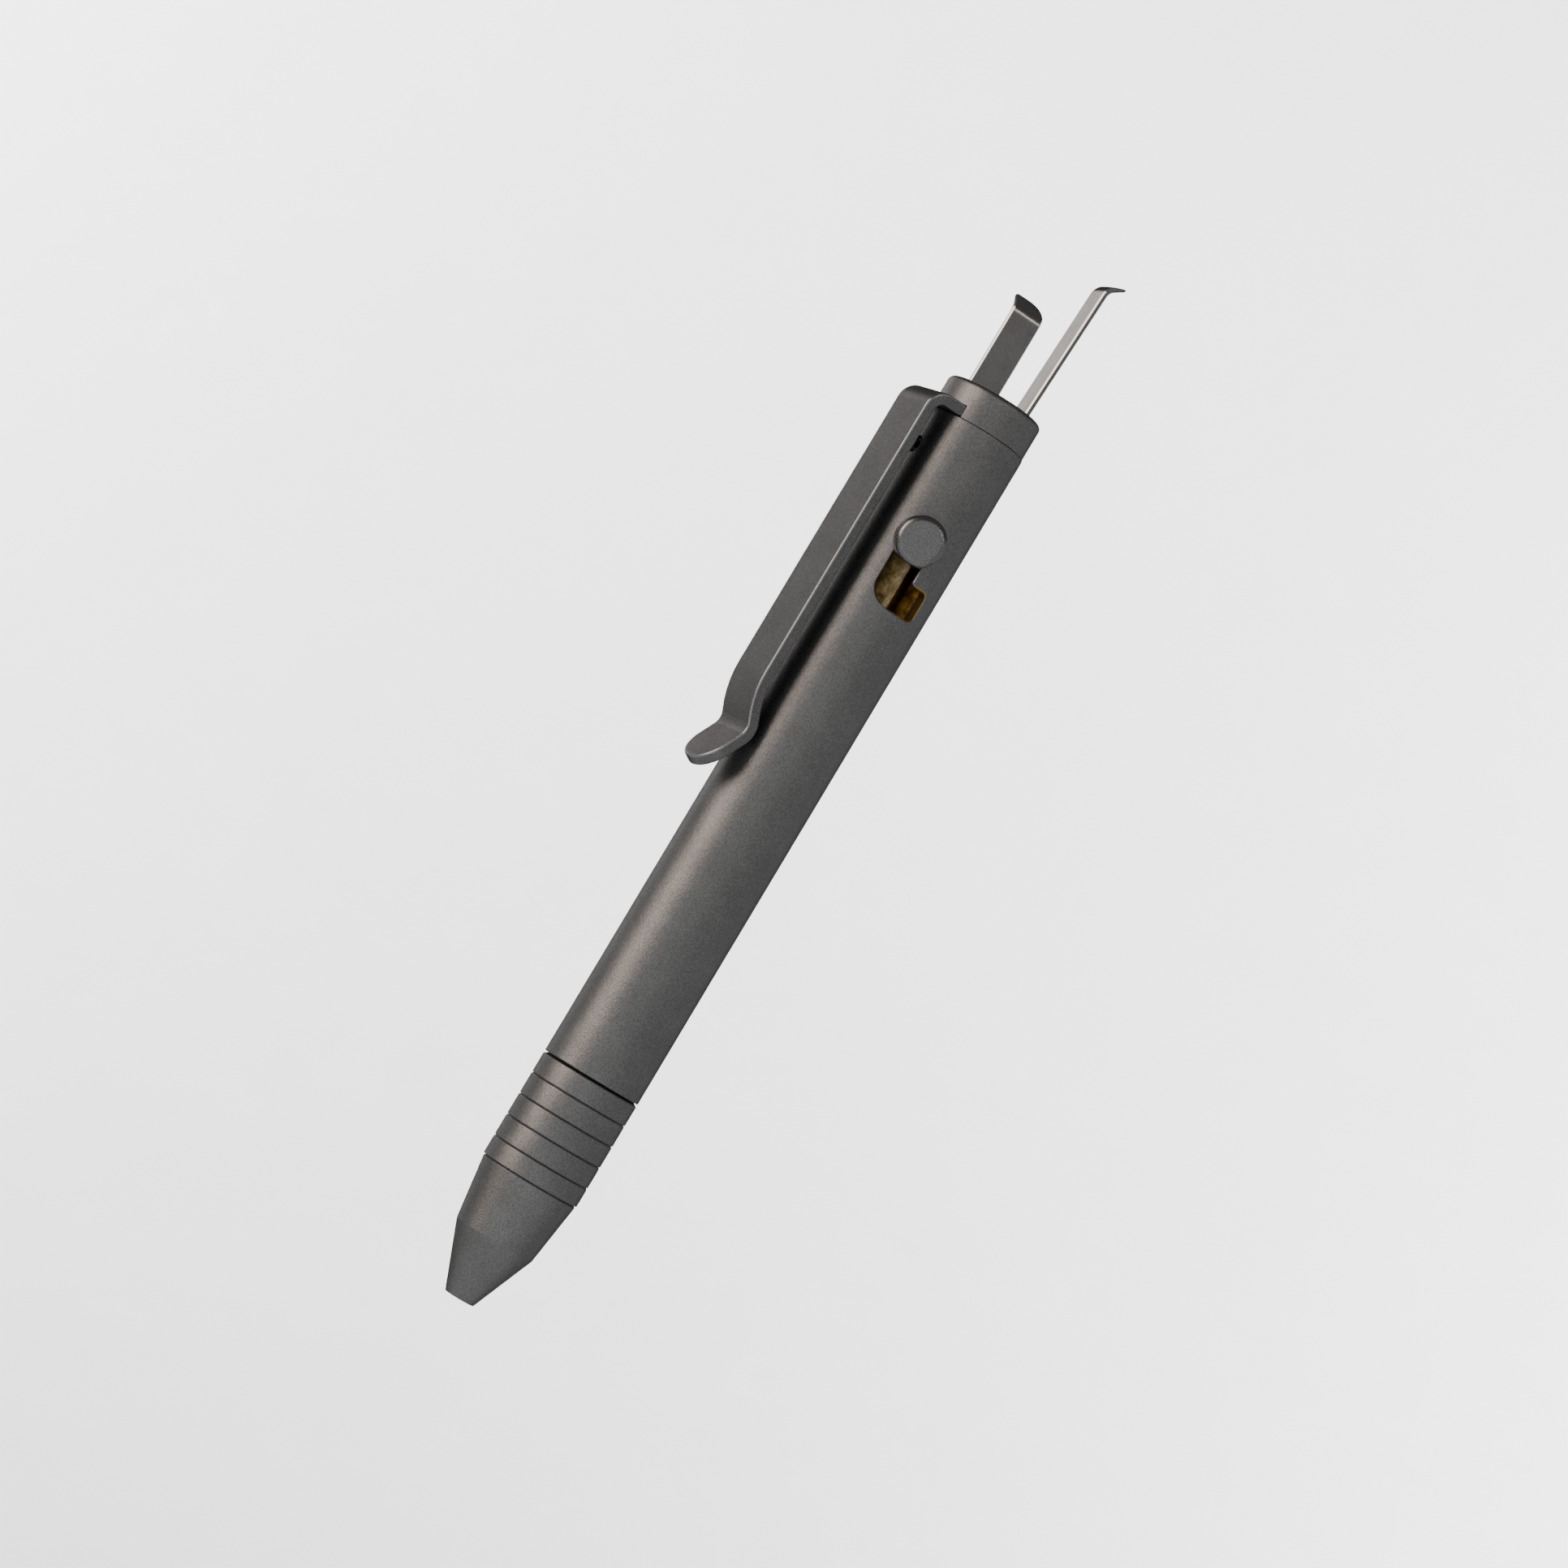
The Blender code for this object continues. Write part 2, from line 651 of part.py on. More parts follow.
def make_refill(parent):
    outer = REFILL_DIAMETER / 2
    tube_profile = [
        (outer, PLUG_SHOULDER - FACE_GAP),
        (outer, TIP_SHOULDER + FACE_GAP),
        (REFILL_BORE_RADIUS, TIP_SHOULDER + FACE_GAP),
        (REFILL_BORE_RADIUS, PLUG_SHOULDER - FACE_GAP),
    ]
    turned("refill_tube", tube_profile, SMALL_STEPS, BRASS, parent)
    inner = REFILL_BORE_RADIUS - RING_GAP
    channel = TIP_CHANNEL / 2
    plug_profile = [
        (outer, REFILL_END),
        (outer, PLUG_SHOULDER),
        (inner, PLUG_SHOULDER),
        (inner, PLUG_SHOULDER - PLUG_SPIGOT),
        (channel, PLUG_SHOULDER - PLUG_SPIGOT),
        (channel, REFILL_END),
    ]
    turned("refill_plug", plug_profile, SMALL_STEPS, PLUG_PLASTIC, parent)
    cup_floor = BALL_END + BALL_DIAMETER + BALL_GAP
    tip_profile = [
        (inner, TIP_SHOULDER + TIP_SPIGOT),
        (inner, TIP_SHOULDER),
        (outer, TIP_SHOULDER),
        (outer, TIP_RIM + TIP_CONE),
        (BALL_CUP_RADIUS + TIP_RIM_WALL, TIP_RIM),
        (BALL_CUP_RADIUS, TIP_RIM),
        (BALL_CUP_RADIUS, cup_floor),
        (channel, cup_floor),
        (channel, TIP_SHOULDER + TIP_SPIGOT),
    ]
    turned("refill_tip", tip_profile, SMALL_STEPS, NICKEL, parent)
    mesh = bpy.data.meshes.new("refill_ball")
    bm = bmesh.new()
    bmesh.ops.create_uvsphere(bm, u_segments=16, v_segments=10, radius=BALL_DIAMETER / 2)
    bm.to_mesh(mesh)
    bm.free()
    ball = add_object("refill_ball", mesh, CARBIDE, parent)
    ball.location = (0, 0, BALL_END + BALL_DIAMETER / 2)


def helix_points(radius, low, high, turns):
    points = []
    count = turns * CURL_POINTS
    for step in range(count + 1):
        angle = 2 * math.pi * step / CURL_POINTS
        height = low + (high - low) * step / count
        points.append(Vector((radius * math.cos(angle), radius * math.sin(angle), height)))
    return points


def least_gap(points, thickness):
    """The nearest that one curl comes to the next, less the wire's own thickness."""
    pairs = zip(points, points[CURL_POINTS:])
    return min((later - earlier).length for earlier, later in pairs) - thickness


def make_spring(parent):
    wire = WIRE_DIAMETER / 2
    inside = REFILL_DIAMETER / 2 + REFILL_GAP
    outside = CARRIER_NECK_DIAMETER / 2
    low = SPIGOT_TOP + SPRING_GAP + wire
    high = NECK_END - SPRING_GAP - wire
    points = helix_points((inside + outside) / 2, low, high, SPRING_TURNS)
    print("least gap between the spring's curls, mm:", least_gap(points, WIRE_DIAMETER) / MM)
    curve = bpy.data.curves.new("return_spring", "CURVE")
    curve.dimensions = "3D"
    curve.bevel_depth = wire
    curve.bevel_resolution = 1
    curve.use_fill_caps = True
    spline = curve.splines.new("POLY")
    spline.points.add(len(points) - 1)
    for target, point in zip(spline.points, points):
        target.co = (*point, 1)
    add_object("return_spring", curve, SPRING_STEEL, parent)


def main():
    body = new_empty("pen_body")
    bolt = new_empty("bolt_slide_axis")
    grip = new_empty("grip_turn_axis")
    short = new_empty("short_blade_axis")
    long = new_empty("long_blade_axis")
    for axis in (bolt, grip, short, long):
        axis.parent = body
    place_blade(short, SHORT_REACH, SHORT_SHIFT, SHORT_ANGLE, SHORT_LEAN)
    place_blade(long, LONG_REACH, LONG_SHIFT, LONG_ANGLE, LONG_LEAN)
    make_barrel(body)
    make_cap(body)
    make_screw(body)
    make_clip(body)
    make_grip(grip)
    make_grip_ring(grip)
    make_knob(bolt)
    make_carrier(bolt)
    make_refill(bolt)
    make_spring(body)
    short_rounds = (SHORT_ROUND_NEAR, SHORT_ROUND_FAR)
    make_blade("short_hook_blade", short, SHORT_RISE, SHORT_TIP, SHORT_TIP_TILT, short_rounds)
    long_rounds = (LONG_ROUND, LONG_ROUND)
    make_blade("long_hook_blade", long, LONG_RISE, LONG_TIP, LONG_TIP_TILT, long_rounds)


main()
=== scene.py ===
"""Looks of the bolt-action pen: fine turned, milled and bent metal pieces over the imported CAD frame.

Metres, in the frame of the CAD part: the pen's axis is Z, the nose is down, and the origin is in the
barrel's rear face. The clip points to -X.
"""

import math

import bmesh
import bpy
from mathutils import Matrix, Vector


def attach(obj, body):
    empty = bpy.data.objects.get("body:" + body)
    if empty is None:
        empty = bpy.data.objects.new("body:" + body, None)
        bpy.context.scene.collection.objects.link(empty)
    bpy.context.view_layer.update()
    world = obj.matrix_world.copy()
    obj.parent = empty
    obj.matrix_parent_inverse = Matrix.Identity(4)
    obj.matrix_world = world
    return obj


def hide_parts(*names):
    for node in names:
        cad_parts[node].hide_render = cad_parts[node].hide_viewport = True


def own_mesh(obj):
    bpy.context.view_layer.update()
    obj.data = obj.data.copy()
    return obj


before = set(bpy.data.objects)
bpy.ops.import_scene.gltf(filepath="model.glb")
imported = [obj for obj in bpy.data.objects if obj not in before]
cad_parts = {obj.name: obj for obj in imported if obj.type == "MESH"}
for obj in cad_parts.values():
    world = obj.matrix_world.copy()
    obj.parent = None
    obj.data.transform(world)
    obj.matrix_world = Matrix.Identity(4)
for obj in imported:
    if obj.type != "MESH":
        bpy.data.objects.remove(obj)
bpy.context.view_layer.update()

MM = 0.001

# Barrel
BARREL_RADIUS = 5.5 * MM
BARREL_LENGTH = 76.8 * MM
BORE_RADIUS = 4.15 * MM
TAIL_BORE_RADIUS = 4.7 * MM
TAIL_BORE_END = -5.65 * MM
EDGE_BREAK = 0.12 * MM
EDGE_ROUND = 0.1 * MM
SEAM_EDGE = 0.04 * MM

# Bolt slot
STEM_RADIUS = 1.4 * MM
SLOT_HALF = 1.7 * MM
BOLT_STROKE = 5.8 * MM
BOLT_REST = -13.2 * MM
BOLT_TURN = math.radians(25)
SLOT_END_ROOM = 0.2 * MM
SLOT_END_ROUND = 1.65 * MM
SLOT_HEEL_ROUND = 2.2 * MM
SLOT_TOE_ROUND = 0.7 * MM
SLOT_CROTCH_ROUND = 0.3 * MM
SLOT_LIP = 0.09 * MM
SLOT_FLOOR = 2.5 * MM

# Bolt knob and carrier
BOLT_ANGLE = math.radians(247.5)
KNOB_RADIUS = 2.675 * MM
KNOB_UNDER = 5.9 * MM
KNOB_FACE = 8.39 * MM
KNOB_ROUND = 0.78 * MM
STEM_END = 1.1 * MM
CARRIER_RADIUS = 3.95 * MM
CARRIER_TOP = -6.0 * MM
CARRIER_FOOT = -26.0 * MM
CARRIER_CHAMFER = 0.4 * MM
NECK_RADIUS = 2.6 * MM
NECK_END = -43.0 * MM
REFILL_SOCKET_RADIUS = 1.325 * MM
REFILL_SOCKET_END = -34.55 * MM
STEM_HOLE_RADIUS = 1.52 * MM
STEM_HOLE_SPAN = (0.98 * MM, 5 * MM)
# Groove along the carrier: sideways from the bolt, and out from the axis
KEYWAY_TOP = -15.2 * MM
KEYWAY_MM = ((0.75, 4.3), (0.82, 3.87), (1.89, 1.81), (3.5, 2.25), (4.6, 2.6), (4.6, 4.3))

# Grip section
GRIP_TOP = -77.05 * MM
SEAM = -76.95 * MM
NOSE_END = -102.9 * MM
SPIGOT_TOP = -69.1 * MM
SPIGOT_RADIUS = 4.0 * MM
COLLAR_RADIUS = 5.1 * MM
COLLAR_FOOT_RADIUS = 5.4 * MM
COLLAR_TOP = -76.83 * MM
RING_HEIGHT = -70.2 * MM
RING_ROOM = 0.46 * MM
RING_FLOOR = 3.23 * MM
GRIP_BORE_RADIUS = 1.475 * MM
NOSE_RADIUS = 1.65 * MM
NOSE_BORE_RADIUS = 1.33 * MM
NOSE_BORE_LENGTH = 3.0 * MM
GRIP_GROOVES = 4
GROOVE_PITCH = 2.46 * MM
GROOVE_WIDTH = 0.22 * MM
GROOVE_DEPTH = 0.18 * MM
GROOVE_SLANT = 0.03 * MM
GROOVE_ROUNDS = [0.04 * MM, 0.01 * MM, 0.07 * MM]
CONE_TOP = -89.0 * MM
CONE_BREAK = -95.95 * MM
CONE_BREAK_RADIUS = 4.45 * MM
CONE_BREAK_ROUND = 0.1 * MM
NOSE_ROUND = 0.14 * MM
NOSE_BORE_ROUND = 0.05 * MM
THREAD_TOP = -71.2 * MM
THREAD_FOOT = -76.2 * MM
THREAD_PITCH = 0.75 * MM
THREAD_DEPTH = 0.26 * MM

# Tail cap
CAP_RADIUS = 5.42 * MM
CAP_FACE = 0.05 * MM
CAP_TOP = 4.05 * MM
CAP_ROUND = 0.6 * MM
CAP_SPIGOT_RADIUS = 4.55 * MM
CAP_SPIGOT_END = -5.5 * MM
NOTCH_END = 2.88 * MM
NOTCH_HALF = 3.25 * MM
NOTCH_TOP = 1.42 * MM

# Set screw under the clip
SCREW_RADIUS = 0.85 * MM
SCREW_FACE = 5.3 * MM
SCREW_LENGTH = 1.3 * MM
SCREW_HEIGHT = -4.3 * MM
SCREW_SOCKET_RADIUS = 0.52 * MM
SCREW_SOCKET_DEPTH = 0.6 * MM
SCREW_HOLE_RADIUS = 0.97 * MM
SCREW_HOLE_SPAN = (2 * MM, 7 * MM)

# Pocket clip
CLIP_ANGLE = math.radians(180)
CLIP_WIDTH = 6.4 * MM
CLIP_THICKNESS = 1.25 * MM
CLIP_TAB_END = 3.0 * MM
CLIP_TAB_HEIGHT = 0.745 * MM
CLIP_LEG = 7.875 * MM
CLIP_SHOULDER = -35.15 * MM
CLIP_REST_RADIUS = 6.1216 * MM
CLIP_REST = -38.55 * MM
CLIP_END_RADIUS = 9.1079 * MM
CLIP_END = -44.03 * MM
CLIP_TOP_BEND = 1.575 * MM
CLIP_SHOULDER_BEND = 10.14 * MM
CLIP_REST_BEND = 2.2 * MM
CLIP_END_ROUND = 3.15 * MM
CLIP_EDGE = 0.2 * MM

# Hook blades
BLADE_WIDTH = 3.6 * MM
BLADE_THICKNESS = 0.58 * MM
BLADE_DEPTH = 8.93 * MM
BLADE_BEND = 1.4 * MM
BLADE_GAP = 0.12 * MM
BLADE_EDGE = 0.15 * MM
BLADE_POINT = 0.25 * MM
SHORT_ANGLE = math.radians(80)
SHORT_REACH = 2.85 * MM
SHORT_SHIFT = 0.95 * MM
SHORT_RISE = 9.66 * MM
SHORT_TIP = 2.4 * MM
SHORT_TILT = math.radians(42.5)
SHORT_LEAN = 0.0
SHORT_ROUNDS = (1.7 * MM, 0.65 * MM)
LONG_ANGLE = math.radians(-10)
LONG_REACH = 3.05 * MM
LONG_SHIFT = 0.0
LONG_RISE = 15.74 * MM
LONG_TIP = 2.095 * MM
LONG_TILT = math.radians(53)
LONG_LEAN = math.radians(2.3)
LONG_ROUNDS = (0.4 * MM, 0.4 * MM)

# Refill tip
BALL_END = -101.7 * MM
BALL_RADIUS = 0.38 * MM
BALL_FIT = 0.96
REFILL_RADIUS = 1.175 * MM
TIP_RIM = -101.42 * MM
TIP_RIM_RADIUS = 0.53 * MM
TIP_CONE_TOP = -98.22 * MM
TIP_SHOULDER = -95.82 * MM
TIP_SPIGOT_TOP = -93.32 * MM
TIP_SPIGOT_RADIUS = 0.795 * MM
TIP_SHOULDER_ROUND = 0.1 * MM
TIP_CONE_ROUND = 0.3 * MM
TIP_RIM_ROUND = 0.03 * MM

# Return spring
SPRING_RADIUS = 1.9625 * MM
SPRING_GAP = 0.15 * MM
SPRING_TURNS = 12
WIRE_RADIUS = 0.2 * MM

# Fineness
BODY_STEPS = 192
CURL_STEPS = 32
WIRE_STEPS = 10
SMALL_STEPS = 64
SCREW_STEPS = 48
BALL_STEPS = 16
THREAD_ROWS = 10
END_STEPS = 12
CLIP_EDGE_STEPS = 3
BLADE_EDGE_STEPS = 1
SWEEP_STEPS = 12
ARC_STEP = math.radians(6)
LEAST_STEP = 1e-7
SHARP = math.radians(40)
SHARP_CUT = math.radians(30)
FLAT_WEIGHT = 80

# Camera and studio
CAMERA_ANGLE = math.radians(241.5)
CAMERA_DISTANCE = 525 * MM
CAMERA_HEIGHT = -71 * MM
AIM_HEIGHT = -41 * MM
AIM_RIGHT = 1.5 * MM
CAMERA_ROLL = math.radians(30.9)
LENS = 118.0
SENSOR = 36.0
NEAREST = 10 * MM
FLOOR_HEIGHT = -300 * MM
FLOOR_FRONT = -1.5
FLOOR_HALF = 2.0
SWEEP_START = 0.5
SWEEP_RADIUS = 0.5
WALL_TOP = 2.0
WORLD_STRENGTH = 0.03
ZENITH_STRENGTH = 0.08
ZENITH_FADE = (0.3, 0.9)
WALL_RADIANCE = 20.0
WALL_LIGHT_BACK = 0.4
WALL_LIGHT_SIDE = 0.75
WALL_LIGHT_SIZE = (0.6, 1.4)
# Each light: degrees right of the camera, height, distance, width and tall in metres, radiance, colour
LIGHTS = (
    ("key", -63, 0.12, 0.6, 0.34, 0.5, 2.5, (1, 0.84, 0.74)),
    ("front_left", -20, 0.0, 0.9, 0.8, 1.0, 0.29, (1, 1, 1)),
    ("front_right", 14, 0.0, 0.9, 0.32, 1.0, 0.33, (1, 1, 1)),
    ("right", 37, 0.0, 0.9, 0.4, 1.0, 0.155, (1, 1, 1)),
    ("far_right", 75, 0.0, 0.9, 0.8, 1.0, 0.22, (1, 1, 1)),
    ("back_right", 125, 0.0, 0.9, 0.8, 1.0, 0.195, (1, 1, 1)),
    ("left", -106, 0.0, 0.9, 0.7, 1.0, 0.21, (1, 1, 1)),
    ("back_left", -143, 0.16, 0.8, 0.32, 0.26, 1.05, (1, 0.95, 0.92)),
    ("low_left", -143, -0.14, 0.8, 0.4, 0.3, 0.35, (1, 0.97, 0.95)),
    ("top_right", 37, 0.42, 0.7, 0.2, 0.12, 2.8, (1, 0.9, 0.82)),
    ("below", 0, -0.28, 0.05, 0.8, 0.8, 0.3, (1, 1, 1)),
)


# Node helpers
def grey(level):
    return (level, level, level)


def new_material(name):
    material = bpy.data.materials.new(name)
    material.use_nodes = True
    return material, material.node_tree.nodes["Principled BSDF"]


def add_node(material, kind, **settings):
    node = material.node_tree.nodes.new(kind)
    for key, value in settings.items():
        setattr(node, key, value)
    return node


def link(material, source, target):
    material.node_tree.links.new(source, target)


def coordinates(material, scale=(1, 1, 1)):
    """Object coordinates, stretched along an axis for a finish with a direction."""
    coords = add_node(material, "ShaderNodeTexCoord")
    mapping = add_node(material, "ShaderNodeMapping")
    mapping.inputs["Scale"].default_value = scale
    link(material, coords.outputs["Object"], mapping.inputs["Vector"])
    return mapping.outputs["Vector"]


def noise(material, vector, scale, detail, roughness=0.6):
    node = add_node(material, "ShaderNodeTexNoise")
    node.inputs["Scale"].default_value = scale
    node.inputs["Detail"].default_value = detail
    node.inputs["Roughness"].default_value = roughness
    link(material, vector, node.inputs["Vector"])
    return node.outputs["Fac"]


def ramp(material, source, stops):
    """Turns a value into a colour, from (place, colour) stops."""
    node = add_node(material, "ShaderNodeValToRGB")
    elements = node.color_ramp.elements
    while len(elements) < len(stops):
        elements.new(0.5)
    for element, (place, colour) in zip(elements, stops):
        element.position = place
        element.color = (*colour, 1)
    link(material, source, node.inputs["Fac"])
    return node.outputs["Color"]


def spread(material, source, low, high, to_low, to_high):
    node = add_node(material, "ShaderNodeMapRange")
    node.inputs["From Min"].default_value = low
    node.inputs["From Max"].default_value = high
    node.inputs["To Min"].default_value = to_low
    node.inputs["To Max"].default_value = to_high
    link(material, source, node.inputs["Value"])
    return node.outputs["Result"]


def mix_colour(material, factor, first, second, blend="MIX"):
    node = add_node(material, "ShaderNodeMix", data_type="RGBA", blend_type=blend)
    if isinstance(factor, float):
        node.inputs["Factor"].default_value = factor
    else:
        link(material, factor, node.inputs["Factor"])
    link(material, first, node.inputs["A"])
    link(material, second, node.inputs["B"])
    return node.outputs["Result"]


def rub_edges(material, shader, colour, rough, rubbed_colour, rubbed_rough):
    """Lighter and smoother metal where a strip's edges are rubbed."""
    rubbed = add_node(material, "ShaderNodeAttribute", attribute_name="rubbed").outputs["Fac"]
    bright = ramp(material, rubbed, [(0.0, (0, 0, 0)), (1.0, rubbed_colour)])
    link(material, mix_colour(material, rubbed, colour, bright), shader.inputs["Base Color"])
    node = add_node(material, "ShaderNodeMix", data_type="FLOAT")
    link(material, rubbed, node.inputs["Factor"])
    link(material, rough, node.inputs["A"])
    node.inputs["B"].default_value = rubbed_rough
    link(material, node.outputs["Result"], shader.inputs["Roughness"])


def bump(material, shader, height, strength, distance):
    node = add_node(material, "ShaderNodeBump")
    node.inputs["Strength"].default_value = strength
    node.inputs["Distance"].default_value = distance
    link(material, height, node.inputs["Height"])
    link(material, node.outputs["Normal"], shader.inputs["Normal"])


# Materials
def blasted_metal(name, dark, light, rough_low, rough_high, depth):
    """Bead-blasted, tumbled titanium: a fine sparkling grain with slight clouds in its grey."""
    material, shader = new_material(name)
    vector = coordinates(material)
    grain = noise(material, vector, 6500, 4, 0.65)
    cloud = noise(material, vector, 260, 4)
    grains = ramp(material, grain, [(0.38, dark), (0.62, light)])
    clouds = ramp(material, cloud, [(0.3, grey(0.86)), (0.7, (1, 1, 1))])
    colour = mix_colour(material, 1.0, grains, clouds, "MULTIPLY")
    rough = spread(material, grain, 0.3, 0.7, rough_high, rough_low)
    rub_edges(material, shader, colour, rough, grey(0.62), 0.26)
    shader.inputs["Metallic"].default_value = 1
    bump(material, shader, grain, 1.0, depth)
    return material


def brushed_steel(name, dark, light, roughness):
    """Satin blade steel, with fine marks along the blade."""
    material, shader = new_material(name)
    vector = coordinates(material, (1, 1, 0.3))
    marks = noise(material, vector, 14000, 3)
    stain = noise(material, coordinates(material), 500, 4)
    lines = ramp(material, marks, [(0.3, dark), (0.7, light)])
    stains = ramp(material, stain, [(0.35, (0.88, 0.86, 0.84)), (0.6, (1, 1, 1))])
    colour = mix_colour(material, 1.0, lines, stains, "MULTIPLY")
    rough = spread(material, marks, 0.3, 0.7, roughness * 1.2, roughness * 0.85)
    rub_edges(material, shader, colour, rough, (0.92, 0.91, 0.89), 0.16)
    shader.inputs["Metallic"].default_value = 1
    bump(material, shader, marks, 0.12, 0.004 * MM)
    return material


def beside_bolt(material):
    """How far a place lies to the side of the bolt, from -2 mm to 4 mm as 0 to 1."""
    coords = add_node(material, "ShaderNodeTexCoord")
    mapping = add_node(material, "ShaderNodeMapping")
    mapping.inputs["Rotation"].default_value = (0, 0, -BOLT_ANGLE)
    axes = add_node(material, "ShaderNodeSeparateXYZ")
    link(material, coords.outputs["Object"], mapping.inputs["Vector"])
    link(material, mapping.outputs["Vector"], axes.inputs["Vector"])
    return spread(material, axes.outputs["Y"], -2 * MM, 4 * MM, 0, 1)


def worn_brass(name):
    """Brass with random stains, and painted light: a painted highlight streak and painted shade beside
    the bolt.
    """
    material, shader = new_material(name)
    wear = noise(material, coordinates(material), 1000, 5, 0.6)
    marks = noise(material, coordinates(material, (1, 1, 0.3)), 5000, 3)
    # Across the slot from left to right: painted shade by the slot's left wall, a painted highlight
    # streak, painted shade down the groove, easing to orange brass on its far side.
    brass_and_painted_light_tones = [
        (0.05, (0.3, 0.2, 0.08)),
        (0.25, (0.45, 0.32, 0.14)),
        (0.34, (0.65, 0.49, 0.25)),
        (0.41, (0.98, 0.82, 0.5)),
        (0.455, (0.9, 0.7, 0.38)),
        (0.48, (0.35, 0.22, 0.08)),
        (0.54, (0.14, 0.08, 0.025)),
        (0.65, (0.12, 0.06, 0.012)),
        (0.9, (0.8, 0.44, 0.1)),
    ]
    brass_and_painted_light = ramp(material, beside_bolt(material), brass_and_painted_light_tones)
    stains = ramp(material, wear, [(0.36, (0.45, 0.4, 0.3)), (0.6, (1, 1, 1))])
    shades = ramp(material, marks, [(0.3, grey(0.7)), (0.65, (1, 1, 1))])
    colour = mix_colour(material, 1.0, brass_and_painted_light, stains, "MULTIPLY")
    colour = mix_colour(material, 1.0, colour, shades, "MULTIPLY")
    link(material, colour, shader.inputs["Base Color"])
    link(material, spread(material, wear, 0.36, 0.64, 0.65, 0.42), shader.inputs["Roughness"])
    shader.inputs["Metallic"].default_value = 1
    bump(material, shader, wear, 0.6, 0.05 * MM)
    return material


def painted_reflection_wall(name):
    """The bolt slot's walls: bare titanium, with a painted reflection of the brass carrier on the far
    end of the foot.
    """
    material, shader = new_material(name)
    grain = noise(material, coordinates(material), 9000, 3)
    greys = ramp(material, grain, [(0.3, grey(0.34)), (0.7, grey(0.5))])
    # Gold on the far end of the foot is a painted reflection of the brass carrier.
    painted_brass_reflection = ramp(material, grain, [(0.3, (0.6, 0.38, 0.13)), (0.7, (0.78, 0.55, 0.26))])
    foot = spread(material, beside_bolt(material), 0.66, 0.74, 0, 1)
    link(material, mix_colour(material, foot, greys, painted_brass_reflection), shader.inputs["Base Color"])
    link(material, spread(material, grain, 0.3, 0.7, 0.5, 0.36), shader.inputs["Roughness"])
    shader.inputs["Metallic"].default_value = 1
    bump(material, shader, grain, 0.4, 0.01 * MM)
    return material


def drawn_metal(name, dark, light, roughness):
    """A plain drawn or turned metal with faint handling marks."""
    material, shader = new_material(name)
    marks = noise(material, coordinates(material, (1, 1, 0.15)), 6000, 3)
    link(material, ramp(material, marks, [(0.3, dark), (0.7, light)]), shader.inputs["Base Color"])
    rough = spread(material, marks, 0.3, 0.7, roughness * 1.2, roughness * 0.85)
    link(material, rough, shader.inputs["Roughness"])
    shader.inputs["Metallic"].default_value = 1
    bump(material, shader, marks, 0.15, 0.005 * MM)
    return material


def moulded(name, dark, light, roughness):
    """Moulded rubber or plastic with a fine matt grain."""
    material, shader = new_material(name)
    grain = noise(material, coordinates(material), 5000, 3)
    link(material, ramp(material, grain, [(0.3, dark), (0.7, light)]), shader.inputs["Base Color"])
    rough = spread(material, grain, 0.3, 0.7, roughness * 1.1, roughness * 0.9)
    link(material, rough, shader.inputs["Roughness"])
    bump(material, shader, grain, 0.2, 0.01 * MM)
    return material


COARSE_GRAIN = 0.04 * MM
FINE_GRAIN = 0.014 * MM
TITANIUM = blasted_metal("blasted_titanium", grey(0.3), grey(0.46), 0.28, 0.4, COARSE_GRAIN)
CLIP_TITANIUM = blasted_metal("clip_titanium", grey(0.27), grey(0.43), 0.34, 0.46, FINE_GRAIN)
KNOB_TITANIUM = blasted_metal("knob_titanium", grey(0.33), grey(0.46), 0.24, 0.34, FINE_GRAIN)
STEEL = brushed_steel("blade_steel", (0.45, 0.44, 0.43), (0.55, 0.54, 0.53), 0.24)
# The carrier's brass carries a painted highlight and painted shade; the slot's walls carry a painted
# reflection of that brass.
CARRIER_BRASS_PAINTED_LIGHT = worn_brass("worn_brass")
SLOT_WALL_PAINTED_REFLECTION = painted_reflection_wall("slot_wall_painted_reflection")
SCREW_STEEL = drawn_metal("black_screw_steel", grey(0.018), grey(0.035), 0.45)
SPRING_STEEL = drawn_metal("spring_steel", grey(0.45), grey(0.6), 0.3)
NICKEL = drawn_metal("nickel_silver", (0.55, 0.52, 0.45), (0.7, 0.66, 0.58), 0.25)
CARBIDE = drawn_metal("carbide", (0.3, 0.3, 0.31), (0.4, 0.4, 0.41), 0.15)
TUBE_BRASS = drawn_metal("tube_brass", (0.5, 0.34, 0.12), (0.66, 0.46, 0.18), 0.3)
RUBBER = moulded("seal_rubber", grey(0.012), grey(0.025), 0.7)
PLUG_PLASTIC = moulded("plug_plastic", (0.66, 0.66, 0.63), (0.76, 0.76, 0.73), 0.5)


# Mesh helpers
def facing(angle):
    return Vector((math.cos(angle), math.sin(angle), 0))


def add_object(name, mesh, material, place=None):
    """A new piece, with its place worked into its mesh."""
    if place is not None:
        mesh.transform(place)
    obj = bpy.data.objects.new(name, mesh)
    bpy.context.scene.collection.objects.link(obj)
    mesh.materials.append(material)
    return obj


def finish_mesh(name, bm, sharp_angle=SHARP):
    bmesh.ops.recalc_face_normals(bm, faces=bm.faces)
    mesh = bpy.data.meshes.new(name)
    bm.to_mesh(mesh)
    bm.free()
    mesh.shade_smooth()
    mesh.set_sharp_from_angle(angle=sharp_angle)
    return mesh


def even_normals(obj):
    """Keeps wide faces flat up to the small rounds along their edges."""
    weighted = obj.modifiers.new("even_normals", "WEIGHTED_NORMAL")
    weighted.keep_sharp = True
    weighted.weight = FLAT_WEIGHT


def apply_modifiers(obj):
    bpy.context.view_layer.update()
    depsgraph = bpy.context.evaluated_depsgraph_get()
    mesh = bpy.data.meshes.new_from_object(obj.evaluated_get(depsgraph))
    obj.modifiers.clear()
    obj.data = mesh


